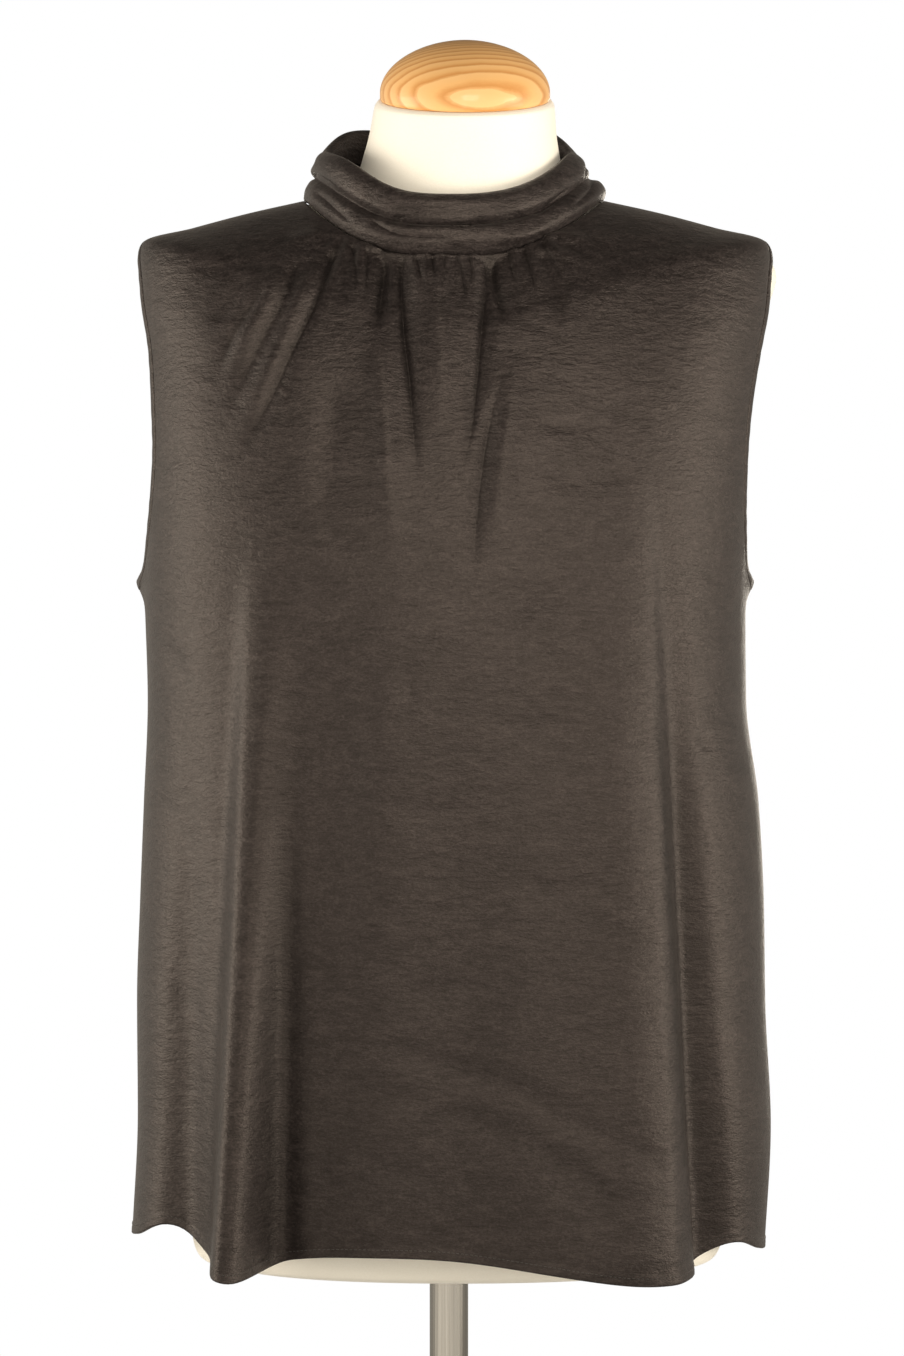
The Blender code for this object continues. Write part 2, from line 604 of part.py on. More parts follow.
def build_collar(material):
    """The band, open at centre back, as one wall that turns in at its top edge."""
    opening = math.radians(COLLAR_OPENING_DEG)
    angles = np.linspace(-math.pi + opening, math.pi - opening, COLLAR_COLUMNS + 1)
    points, faces = [], []
    for row in range(len(COLLAR_RINGS)):
        points.extend(collar_point(np.float64(row), angles))
    width = len(angles)
    for row in range(len(COLLAR_RINGS) - 1):
        for k in range(width - 1):
            a = row * width + k
            faces.append((a, a + 1, a + width + 1, a + width))
    return thicken(new_object("collar", points, faces, material), COLLAR_WALL)


# ---------------------------------------------------------------- turned pieces


def turned(name, profile, count, material, tilt=0.0, place=(0.0, 0.0, 0.0)):
    """A solid of revolution from (radius, height) points. Both ends are closed."""
    points, faces = [], []
    for radius, height in profile:
        for k in range(count):
            angle = 2.0 * math.pi * k / count
            points.append((radius * math.cos(angle), radius * math.sin(angle), height))
    for row in range(len(profile) - 1):
        faces.extend(join_rings(count, row * count, (row + 1) * count))
    faces.append(tuple(reversed(range(count))))
    last = (len(profile) - 1) * count
    faces.append(tuple(range(last, last + count)))
    obj = new_object(name, points, faces, material)
    obj.rotation_euler = (tilt, 0.0, 0.0)
    obj.location = place
    return obj


def build_form(material):
    """The limbless torso and neck, closed flat underneath and on top of the neck."""
    angles = np.linspace(0.0, 2.0 * math.pi, FORM_COLUMNS, endpoint=False)
    points, faces = [], []
    for values in FORM_RINGS:
        row = dict(zip(FORM_COLUMNS_NAMES, values))
        place = np.array([row.pop("centre_x"), row.pop("centre_y"), 0.0])
        points.extend(ring_point(angles, square=FORM_SQUARE, **row) + place)
    for i in range(len(FORM_RINGS) - 1):
        faces.extend(join_rings(FORM_COLUMNS, i * FORM_COLUMNS, (i + 1) * FORM_COLUMNS))
    faces.append(tuple(reversed(range(FORM_COLUMNS))))
    last = (len(FORM_RINGS) - 1) * FORM_COLUMNS
    faces.append(tuple(range(last, last + FORM_COLUMNS)))
    return new_object("dress_form", points, faces, material)


def build_neck_cap(material):
    """A turned dome that sits on the neck's tilted top."""
    profile = [
        (CAP_RADIUS - METAL_EDGE, 0.0),
        (CAP_RADIUS, METAL_EDGE),
        (CAP_RADIUS, CAP_WALL_HEIGHT),
    ]
    rise = CAP_HEIGHT - CAP_WALL_HEIGHT
    for step in range(1, CAP_STEPS + 1):
        angle = 0.5 * math.pi * step / (CAP_STEPS + 0.6)
        radius = CAP_RADIUS * math.cos(angle) ** (2.0 / CAP_ROUND)
        profile.append((radius, CAP_WALL_HEIGHT + rise * math.sin(angle) ** (2.0 / CAP_ROUND)))
    top = dict(zip(FORM_COLUMNS_NAMES, FORM_RINGS[-1]))
    tilt = math.atan2(top["z_back"] - top["z_front"], top["front"] + top["back"])
    place = (
        top["centre_x"],
        top["centre_y"] - CAP_GAP * math.sin(tilt),
        top["z_side"] + CAP_GAP * math.cos(tilt),
    )
    return turned("neck_cap", profile, CAP_SIDES, material, tilt, place)


def build_stand(material):
    base_profile = [
        (BASE_RADIUS - METAL_EDGE, 0.0),
        (BASE_RADIUS, METAL_EDGE),
        (BASE_RADIUS, BASE_THICK - BASE_EDGE),
        (BASE_RADIUS - 0.3 * BASE_EDGE, BASE_THICK - 0.3 * BASE_EDGE),
        (BASE_RADIUS - BASE_EDGE, BASE_THICK),
    ]
    turned("base_plate", base_profile, BASE_SIDES, material)
    foot = BASE_THICK + METAL_GAP
    sleeve = POLE_RADIUS + METAL_GAP
    hub_section = [
        (HUB_RADIUS, foot),
        (HUB_RADIUS, foot + 0.35 * HUB_HEIGHT),
        (HUB_TOP_RADIUS, foot + 0.8 * HUB_HEIGHT),
        (HUB_TOP_RADIUS - METAL_EDGE, foot + HUB_HEIGHT),
        (sleeve, foot + HUB_HEIGHT),
        (sleeve, foot),
    ]
    ring_solid("base_hub", hub_section, POLE_SIDES, material)
    form_underside = FORM_RINGS[0][RING_COLUMNS.index("z_side")]
    pole_profile = [(POLE_RADIUS, foot), (POLE_RADIUS, form_underside - METAL_GAP)]
    turned("pole", pole_profile, POLE_SIDES, material)


def ring_solid(name, section, count, material):
    """A closed section turned about Z, with a hole through its middle."""
    points, faces = [], []
    for radius, height in section:
        for k in range(count):
            angle = 2.0 * math.pi * k / count
            points.append((radius * math.cos(angle), radius * math.sin(angle), height))
    for row in range(len(section)):
        faces.extend(join_rings(count, row * count, (row + 1) % len(section) * count))
    return new_object(name, points, faces, material)


def build_buttons(material):
    """Covered buttons on the collar's end at centre back."""
    half = 0.5 * BUTTON_THICK
    profile = [
        (0.55 * BUTTON_RADIUS, -half),
        (0.97 * BUTTON_RADIUS, -0.4 * half),
        (BUTTON_RADIUS, 0.1 * half),
        (0.80 * BUTTON_RADIUS, 0.75 * half),
        (0.40 * BUTTON_RADIUS, half),
    ]
    for name, row in zip(("neck_button_lower", "neck_button_upper"), BUTTON_ROWS):
        angle = np.float64(math.pi - math.radians(BUTTON_TURN_DEG))
        seat = collar_point(np.float64(row), angle)
        above = collar_point(np.float64(row + BUTTON_SEAT_STEP), angle)
        below = collar_point(np.float64(row - BUTTON_SEAT_STEP), angle)
        slope = above - below
        tilt = math.atan2(slope[2], slope[1]) - math.pi
        lift = half + 0.5 * COLLAR_WALL + BUTTON_CLEAR
        out = np.array([0.0, -math.sin(tilt), math.cos(tilt)])
        turned(name, profile, BUTTON_SIDES, material, tilt, tuple(seat + out * lift))


# ---------------------------------------------------------------- materials


def material(name, colour, roughness, metallic=0.0, sheen=0.0):
    made = bpy.data.materials.new(name)
    made.use_nodes = True
    shader = made.node_tree.nodes["Principled BSDF"]
    shader.inputs["Base Color"].default_value = (*colour, 1.0)
    shader.inputs["Roughness"].default_value = roughness
    shader.inputs["Metallic"].default_value = metallic
    shader.inputs["Sheen Weight"].default_value = sheen
    made.diffuse_color = (*colour, 1.0)
    return made


def clear_scene():
    for obj in list(bpy.data.objects):
        bpy.data.objects.remove(obj, do_unlink=True)


def main():
    clear_scene()
    crepe = material("crepe", (0.070, 0.056, 0.045), 0.55, sheen=0.3)
    jersey = material("jersey", (0.86, 0.83, 0.76), 0.85)
    pine = material("pine", (0.72, 0.44, 0.17), 0.30)
    chrome = material("chrome", (0.60, 0.58, 0.55), 0.18, metallic=1.0)
    build_front(crepe)
    build_back(crepe)
    build_collar(crepe)
    build_binding("armhole_binding_left", -1, crepe)
    build_binding("armhole_binding_right", 1, crepe)
    build_buttons(crepe)
    build_form(jersey)
    build_neck_cap(pine)
    build_stand(chrome)


main()
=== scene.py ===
"""The blouse and its dress form, finished for the camera around their solids.

Metres, +Z up. The front faces -Y, and "left" and "right" are the viewer's, at -X and +X.
The section tables are those of the solids, so each cloth lies where its solid is, and
only the front's hem folds are cut anew. Here they are read at a finer step, and the
creases that were seen in the cloth are laid on.
"""

import math

import bpy
import numpy as np
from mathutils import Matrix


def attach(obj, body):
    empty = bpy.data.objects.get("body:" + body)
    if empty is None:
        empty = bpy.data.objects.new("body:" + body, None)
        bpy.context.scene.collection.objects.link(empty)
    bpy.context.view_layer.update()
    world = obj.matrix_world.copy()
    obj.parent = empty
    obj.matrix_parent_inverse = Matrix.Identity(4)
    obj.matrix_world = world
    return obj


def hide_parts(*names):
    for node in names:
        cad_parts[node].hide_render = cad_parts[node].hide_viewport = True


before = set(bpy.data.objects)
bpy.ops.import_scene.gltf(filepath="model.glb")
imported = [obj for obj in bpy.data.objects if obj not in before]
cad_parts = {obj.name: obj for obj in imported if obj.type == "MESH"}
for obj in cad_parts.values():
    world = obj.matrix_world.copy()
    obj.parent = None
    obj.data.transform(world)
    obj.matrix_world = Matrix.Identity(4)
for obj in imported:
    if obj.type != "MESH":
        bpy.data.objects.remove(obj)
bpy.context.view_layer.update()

# ---------------------------------------------------------------- the camera's view

CAMERA_X = 0.002
CAMERA_DISTANCE = 2.4
CAMERA_HEIGHT = 1.1296
VIEW_HALF_HEIGHT = 0.4407
SENSOR_HEIGHT = 24.0


def build_camera():
    data = bpy.data.cameras.new("camera")
    data.sensor_fit = "VERTICAL"
    data.sensor_height = SENSOR_HEIGHT
    data.lens = SENSOR_HEIGHT * CAMERA_DISTANCE / (2.0 * VIEW_HALF_HEIGHT)
    camera = bpy.data.objects.new("camera", data)
    camera.location = (CAMERA_X, -CAMERA_DISTANCE, CAMERA_HEIGHT)
    camera.rotation_euler = (0.5 * math.pi, 0.0, 0.0)
    bpy.context.scene.collection.objects.link(camera)
    bpy.context.scene.camera = camera


# ---------------------------------------------------------------- sizes and sections

CLOTH_WALL = 0.0011
# From this share of its half width a panel leaves the seam's line by half the gap, and
# its last edge curls in.
SEAM_START = 0.94
SEAM_GAP = 0.0003
SEAM_CURL_START = 0.985
SEAM_CURL = 0.0011
# The panels' edges are tucked a little under the armhole strips.
BINDING_WIDTH = 0.0066
BINDING_LAP = 0.0012
BINDING_WALL = 0.0019
COLLAR_WALL = 0.0016

# How far each armhole's arch cuts into the panels, as the cosine of its angle on a ring.
ARM_REACH_FRONT = 0.265
ARM_REACH_BACK = 0.215
ARM_SKEW = 0.80
ARM_ROUND = 0.60
ARM_EDGE_POWER = 3.0
ARM_WAY_STATIONS = 61
BINDING_FADE = 0.035
BINDING_EASE = 0.86
FOLDS_FADE = (0.80, 0.98)

# The cloth stands out below the armhole, and the hem is lower on the right.
UNDERARM_NUB = 0.0055
NUB_RUN = 0.010
NUB_TURN = 0.10
HEM_TILT = -0.022
HEM_TILT_RUN = 0.30

# Rings of the blouse, hem to neckline. square: 2 is an ellipse, and more is squarer. rise:
# how late a ring turns, on its way round, from the front's or back's height to the sides',
# or 0 where it slopes evenly.
BLOUSE_COLUMNS = (
    "run", "left", "right", "front", "back", "z_front", "z_side", "z_back", "square", "rise",
)
BLOUSE_RINGS = (
    (0.000, 0.2045, 0.2040, 0.127, 0.142, 0.7675, 0.7675, 0.7650, 2.35, 2.0),
    (0.077, 0.2010, 0.2080, 0.128, 0.139, 0.8450, 0.8450, 0.8430, 2.35, 2.0),
    (0.152, 0.2015, 0.2045, 0.128, 0.135, 0.9200, 0.9200, 0.9190, 2.35, 2.0),
    (0.217, 0.1995, 0.2035, 0.129, 0.130, 0.9850, 0.9850, 0.9850, 2.35, 2.0),
    (0.282, 0.1970, 0.2000, 0.131, 0.124, 1.0500, 1.0500, 1.0500, 2.35, 2.0),
    (0.347, 0.1945, 0.1920, 0.134, 0.117, 1.1150, 1.1150, 1.1150, 2.35, 2.0),
    (0.400, 0.1960, 0.1915, 0.136, 0.1135, 1.1650, 1.1680, 1.1700, 2.35, 2.0),
    (0.425, 0.1970, 0.1922, 0.136, 0.1125, 1.1880, 1.1930, 1.1970, 2.36, 2.0),
    (0.461, 0.1968, 0.1945, 0.135, 0.112, 1.2170, 1.2290, 1.2290, 2.40, 2.1),
    (0.499, 0.1965, 0.1980, 0.132, 0.112, 1.2430, 1.2670, 1.2600, 2.45, 2.2),
    (0.539, 0.1980, 0.2025, 0.128, 0.111, 1.2700, 1.3070, 1.2940, 2.45, 2.3),
    (0.573, 0.1985, 0.2070, 0.123, 0.109, 1.2940, 1.3410, 1.3220, 2.45, 2.5),
    (0.605, 0.2015, 0.2105, 0.1175, 0.106, 1.3170, 1.3730, 1.3490, 2.40, 2.7),
    (0.629, 0.2020, 0.2105, 0.1125, 0.102, 1.3350, 1.3970, 1.3690, 2.30, 2.9),
    (0.650, 0.1985, 0.2060, 0.1080, 0.098, 1.3480, 1.4110, 1.3850, 2.25, 3.0),
    (0.690, 0.1660, 0.1730, 0.1020, 0.090, 1.3630, 1.4205, 1.4055, 2.20, 3.0),
    (0.727, 0.1300, 0.1370, 0.0955, 0.084, 1.3790, 1.4303, 1.4290, 2.15, 3.0),
    (0.765, 0.0945, 0.1010, 0.0880, 0.078, 1.3955, 1.4385, 1.4520, 2.10, 3.0),
)
RUN_UNDERARM = 0.425
RUN_TIP = 0.650
RUN_NECK = 0.765
# The creases press in no more than this at the neckline, so that the collar covers it,
# and by so much more for each metre below it.
NECK_PRESS = 0.0024
NECK_PRESS_GROWTH = 0.45

# Gathers below the collar, one soft valley each, wider at its lower end.
GATHER_COLUMNS = ("x_top", "z_top", "x_low", "z_low", "width", "depth")
GATHERS = (
    (-0.0769, 1.4063, -0.1022, 1.3602, 0.0036, 0.0022),
    (-0.0694, 1.4032, -0.0990, 1.3300, 0.0040, 0.0030),
    (-0.0600, 1.4000, -0.0767, 1.3454, 0.0034, 0.0026),
    (-0.0500, 1.3969, -0.0500, 1.3590, 0.0032, 0.0022),
    (-0.0412, 1.3956, -0.0426, 1.3300, 0.0042, 0.0040),
    (-0.0345, 1.3950, -0.0315, 1.3516, 0.0030, 0.0022),
    (-0.0262, 1.3944, -0.0209, 1.2750, 0.0044, 0.0040),
    (-0.0180, 1.3938, -0.0147, 1.3650, 0.0030, 0.0024),
    (-0.0095, 1.3938, -0.0079, 1.3600, 0.0032, 0.0024),
    (0.0022, 1.3938, 0.0039, 1.3520, 0.0036, 0.0028),
    (0.0112, 1.3944, 0.0107, 1.3600, 0.0032, 0.0024),
    (0.0190, 1.3950, 0.0194, 1.3454, 0.0030, 0.0022),
    (0.0262, 1.3956, 0.0144, 1.2650, 0.0044, 0.0042),
    (0.0352, 1.3969, 0.0367, 1.3640, 0.0034, 0.0024),
    (0.0450, 1.3981, 0.0500, 1.3600, 0.0034, 0.0026),
    (0.0570, 1.4013, 0.0690, 1.3620, 0.0036, 0.0026),
    (0.0680, 1.4050, 0.0860, 1.3820, 0.0034, 0.0018),
)
GATHER_FADE = 1.2
GATHER_TOP_EASE = 8.0
GATHER_SPREAD = 0.8

# Folds that open towards the hem. lean: the part of its depth that a fold tips sideways.
# steep: how much narrower a fold is on the side that it leans to. square: 2 is a round
# fold, more has a flatter front.
HEM_FOLD_COLUMNS = ("x_top", "x_hem", "z_top", "width", "depth", "lean", "steep", "square")
FRONT_FOLDS = (
    (-0.117, -0.1290, 1.23, 0.0230, 0.0410, -0.26, 0.62, 2.8),
    (-0.074, -0.0780, 1.19, 0.0330, -0.0075, 0.00, 1.00, 2.0),
    (-0.100, -0.1060, 1.10, 0.0110, -0.0190, 0.00, 1.00, 2.0),
    (-0.160, -0.1670, 1.14, 0.0150, -0.0120, -0.38, 1.00, 2.0),
    (0.114, 0.1310, 1.27, 0.0420, 0.0200, 0.34, 0.45, 2.0),
    (0.127, 0.1600, 1.27, 0.0150, -0.0190, 0.42, 0.42, 2.0),
    (0.055, 0.0640, 1.10, 0.0380, 0.0130, 0.00, 1.00, 2.0),
)
BACK_FOLDS = (
    (-0.112, -0.1250, 1.22, 0.0220, 0.0230, -0.20, 0.80, 2.0),
    (-0.078, -0.0820, 1.16, 0.0170, -0.0160, 0.00, 1.00, 2.0),
    (-0.030, -0.0350, 1.18, 0.0230, 0.0150, 0.00, 1.00, 2.0),
    (0.012, 0.0140, 1.12, 0.0180, -0.0120, 0.00, 1.00, 2.0),
    (0.055, 0.0580, 1.20, 0.0230, 0.0190, 0.00, 1.00, 2.0),
    (0.094, 0.1000, 1.14, 0.0160, -0.0150, 0.00, 1.00, 2.0),
    (0.128, 0.1430, 1.20, 0.0200, 0.0200, 0.20, 0.80, 2.0),
)
# Where the front's hem drops or, where negative, lifts.
LEVEL_COLUMNS = ("x", "width", "drop")
FRONT_HEM_LEVELS = (
    (-0.1790, 0.018, -0.0130),
    (-0.1240, 0.022, 0.0110),
    (-0.0250, 0.060, -0.0035),
    (0.1200, 0.055, 0.0095),
    (0.1800, 0.018, -0.0125),
)
HEM_LEVEL_RISE = 0.16
FOLD_GROWTH = 1.35
FOLD_TOP_WIDTH = 0.70

# Rings of the collar from its seam over the roll and down inside.
COLLAR_COLUMNS = ("left", "right", "front", "back", "z_front", "z_side", "z_back")
COLLAR_RINGS = (
    (0.0936, 0.1000, 0.0872, 0.0772, 1.3970, 1.4402, 1.4537),
    (0.0930, 0.1012, 0.0915, 0.0795, 1.4050, 1.4450, 1.4625),
    (0.0898, 0.0975, 0.0905, 0.0785, 1.4110, 1.4510, 1.4680),
    (0.0862, 0.0900, 0.0850, 0.0755, 1.4135, 1.4540, 1.4715),
    (0.0892, 0.0905, 0.0895, 0.0785, 1.4200, 1.4585, 1.4785),
    (0.0870, 0.0870, 0.0890, 0.0765, 1.4275, 1.4650, 1.4880),
    (0.0810, 0.0800, 0.0845, 0.0720, 1.4325, 1.4700, 1.4935),
    (0.0770, 0.0775, 0.0805, 0.0690, 1.4300, 1.4675, 1.4905),
    (0.0765, 0.0775, 0.0795, 0.0690, 1.4230, 1.4615, 1.4820),
    (0.0780, 0.0785, 0.0795, 0.0700, 1.4140, 1.4560, 1.4710),
)
COLLAR_SQUARE = 2.1
COLLAR_TOP_ROW = 6
COLLAR_RISE_SEAM = 3.0
COLLAR_RISE_FRONT = 2.6
COLLAR_RISE_BACK = 11.0
# One soft lift of the roll, at the left of the front.
COLLAR_LIFT_DEG = -48.0
COLLAR_LIFT_WIDTH_DEG = 20.0
COLLAR_LIFT = 0.0065

# Rings of the torso, from its lower edge to the top of its neck.
FORM_COLUMNS = (
    "centre_x", "centre_y", "half_width", "front", "back", "z_front", "z_side", "z_back", "rise",
)
FORM_RINGS = (
    (0.0055, 0.000, 0.1480, 0.086, 0.093, 0.7500, 0.7500, 0.7500, 3),
    (0.0055, 0.000, 0.1660, 0.103, 0.110, 0.7550, 0.7550, 0.7550, 3),
    (0.0055, 0.000, 0.1720, 0.108, 0.116, 0.7690, 0.7690, 0.7690, 3),
    (0.0055, 0.000, 0.1745, 0.106, 0.124, 0.8500, 0.8500, 0.8500, 3),
    (0.0055, 0.000, 0.1640, 0.100, 0.116, 0.9300, 0.9300, 0.9300, 3),
    (0.0055, 0.000, 0.1400, 0.091, 0.096, 1.0100, 1.0100, 1.0100, 3),
    (0.0055, 0.000, 0.1360, 0.094, 0.091, 1.0700, 1.0700, 1.0700, 3),
    (0.0058, 0.000, 0.1440, 0.110, 0.095, 1.1250, 1.1250, 1.1250, 3),
    (0.0060, 0.000, 0.1530, 0.1265, 0.100, 1.1800, 1.1850, 1.1850, 3),
    (0.0062, 0.000, 0.1620, 0.1230, 0.105, 1.2250, 1.2400, 1.2400, 3),
    (0.0064, 0.000, 0.1740, 0.1150, 0.1045, 1.2680, 1.3000, 1.2900, 3),
    (0.0065, 0.000, 0.1900, 0.1060, 0.1010, 1.3050, 1.3500, 1.3350, 3),
    (0.0065, 0.000, 0.2020, 0.0990, 0.0940, 1.3280, 1.3740, 1.3560, 3),
    (0.0065, 0.000, 0.2060, 0.0950, 0.0900, 1.3390, 1.3890, 1.3700, 3),
    (0.0065, 0.000, 0.2030, 0.0925, 0.0870, 1.3465, 1.3990, 1.3800, 3),
    (0.0065, 0.000, 0.1930, 0.0905, 0.0860, 1.3525, 1.4080, 1.3900, 3),
    (0.0060, 0.000, 0.1700, 0.0885, 0.0850, 1.3610, 1.4160, 1.4010, 3),
    (0.0055, 0.000, 0.1340, 0.0845, 0.0795, 1.3720, 1.4258, 1.4205, 3),
    (0.0060, 0.000, 0.1010, 0.0780, 0.0725, 1.3850, 1.4350, 1.4385, 3),
    (0.0066, -0.001, 0.0785, 0.0700, 0.0680, 1.3980, 1.4420, 1.4500, 2),
    (0.0070, -0.004, 0.0685, 0.0640, 0.0650, 1.4150, 1.4500, 1.4620, 1.5),
    (0.0080, -0.007, 0.0645, 0.0625, 0.0620, 1.4370, 1.4640, 1.4790, 0),
    (0.0091, -0.010, 0.0605, 0.0595, 0.0595, 1.4620, 1.4820, 1.4990, 0),
    (0.0102, -0.012, 0.0580, 0.0575, 0.0575, 1.4830, 1.5000, 1.5170, 0),
    (0.0104, -0.012, 0.0560, 0.0555, 0.0555, 1.4860, 1.5028, 1.5196, 0),
)
FORM_SQUARE = 2.15

# ---------------------------------------------------------------- creases laid on the cloth

# Each crease: half width to its left and to its right and depth (a ridge where negative),
# in millimetres, then its sharpness (2 is a round valley, 1 a pinched one), the ease at
# its two ends as shares of its length, and its route as (x, z) in millimetres.


def faint(width, depth, *route):
    """A soft drag line, the same on both sides and at both ends."""
    return (width, width, depth, 1.8, 0.35, 0.35, *route)


def tuck(width, depth, *route):
    """A narrow pinch that starts at the collar's seam."""
    return (width, width, depth, 1.6, 0.02, 0.5, *route)


def slouch(width, depth, *route):
    """A pinched line between the collar's rolls."""
    return (width, width, depth, 1.4, 0.25, 0.3, *route)


FRONT_CREASES = (
    # the two long folds that run down from the gathers and close in a V
    (5, 4.2, 3.6, 1.5, 0.02, 0.6,
     (-29, 1399), (-30, 1378), (-28, 1343), (-24, 1311), (-22, 1283), (-18, 1250)),
    (4, 5.5, 2.4, 1.5, 0.02, 0.5,
     (24, 1398), (22, 1374), (19, 1342), (16, 1308), (12, 1278), (4, 1242)),
    (5.5, 7, 2.4, 1.7, 0.25, 0.4, (33, 1318), (26, 1290), (20, 1255), (16, 1215), (15, 1180)),
    # dark pockets beside them
    (8, 6, 5, 1.9, 0.02, 0.3, (-40, 1400), (-41, 1378), (-43, 1360), (-45, 1345)),
    (5, 8, 4.6, 1.9, 0.02, 0.3, (27, 1398), (29, 1378), (32, 1362), (34, 1348)),
    # ridges between
    (8, 8, -2.6, 1.9, 0.1, 0.55, (-12, 1394), (-6, 1350), (-4, 1306), (-4, 1262)),
    (9, 7, -3.6, 1.9, 0.25, 0.5, (-46, 1350), (-42, 1326), (-39, 1290), (-36, 1240), (-30, 1190)),
    (8, 9, -2.6, 1.9, 0.25, 0.5, (44, 1336), (38, 1296), (32, 1250), (28, 1190)),
    # lines that fan out to the left shoulder and bust
    (6, 4, 2.8, 1.5, 0.05, 0.4, (-72, 1402), (-83, 1366), (-98, 1330), (-112, 1296), (-128, 1262)),
    (6.5, 4.5, 2.6, 1.5, 0.1, 0.45,
     (-92, 1397), (-101, 1366), (-116, 1334), (-130, 1306), (-141, 1284)),
    (6, 5, 2, 1.6, 0.2, 0.45, (-110, 1380), (-133, 1345), (-147, 1312)),
    (5.5, 5, 1.6, 1.6, 0.25, 0.45, (-124, 1384), (-138, 1362), (-150, 1342)),
    (8, 8, -2.6, 1.9, 0.15, 0.5, (-82, 1392), (-97, 1352), (-114, 1314), (-134, 1272)),
    (7, 7, -2.4, 1.9, 0.2, 0.5, (-104, 1386), (-124, 1348), (-142, 1308)),
    # the shoulder slope, pulled toward the collar
    (6, 6, 1.6, 1.7, 0.25, 0.35, (-100, 1391), (-132, 1390), (-166, 1386)),
    (5, 5, -1.8, 1.8, 0.2, 0.45, (-80, 1410), (-92, 1407), (-106, 1402)),
    (4, 4, -2.2, 1.8, 0.05, 0.5, (60, 1406), (74, 1407), (92, 1404)),
    (4, 4, -2, 1.8, 0.05, 0.5, (54, 1401), (68, 1397), (88, 1391)),
    (5, 5, 1.6, 1.6, 0.1, 0.5, (57, 1399), (66, 1376), (72, 1350)),
    (12, 12, 2.2, 2, 0.25, 0.4, (-68, 1330), (-72, 1290), (-74, 1250), (-72, 1205)),
    # broad hollows and swells of the hanging front
    (26, 26, 2.6, 2, 0.4, 0.4, (-70, 1200), (-70, 1120), (-72, 1040), (-74, 960)),
    (24, 24, -2.4, 2, 0.4, 0.4, (-38, 1200), (-34, 1110), (-36, 1010), (-32, 900)),
    (34, 34, 2.2, 2, 0.45, 0.05, (4, 1120), (2, 1020), (-4, 900), (-8, 760)),
    (30, 20, -4.5, 2, 0.4, 0.05, (92, 1200), (96, 1100), (100, 980), (104, 760)),
    (20, 20, 2.6, 2, 0.4, 0.4, (52, 1200), (58, 1120), (62, 1040)),
    (16, 16, 1.8, 2, 0.4, 0.4, (62, 1190), (54, 1160), (40, 1132)),
    # slanting drags across the middle and low on the right
    (7, 9, 2.2, 1.7, 0.3, 0.35, (-57, 904), (10, 887), (66, 865), (111, 848)),
    (6, 8, 2.2, 1.7, 0.35, 0.25, (-18, 865), (55, 842), (89, 820), (111, 806)),
    (6, 8, 1.8, 1.7, 0.35, 0.3, (44, 865), (111, 842), (134, 826)),
    (5, 6, 1.6, 1.7, 0.3, 0.3, (53, 828), (80, 812), (102, 798)),
    faint(8, 1.4, (-44, 942), (-16, 936), (14, 940), (44, 934)),
    faint(7, 1.2, (-70, 884), (-40, 872), (-8, 866)),
    faint(6, 1.1, (-60, 836), (-30, 822), (2, 818)),
    faint(6, 1, (-82, 1124), (-58, 1118), (-36, 1122)),
    (6, 6, 0.9, 1.7, 0.35, 0.35, (-29, 1150), (-24, 1116), (-26, 1080)),
    faint(7, 1.3, (34, 1222), (66, 1216), (98, 1222)),
    faint(6, 1.1, (48, 1290), (78, 1284), (108, 1290)),
    faint(6, 1.2, (52, 1258), (84, 1250), (118, 1262)),
    faint(6, 1.1, (-82, 1222), (-64, 1214), (-48, 1218)),
    faint(7, 1.2, (-50, 1052), (-14, 1046), (24, 1054)),
    faint(7, 1.2, (30, 1006), (62, 998), (104, 1004)),
    faint(6, 1, (20, 1104), (52, 1096), (84, 1102)),
    faint(7, 1.2, (-182, 960), (-172, 938), (-166, 910)),
    faint(7, 1.1, (-186, 1060), (-174, 1040), (-164, 1012)),
    faint(6, 1.1, (-184, 1150), (-172, 1140), (-160, 1120)),
    (5, 5, 1.4, 1.6, 0.3, 0.3, (159, 1100), (160, 1090), (158, 1080)),
)
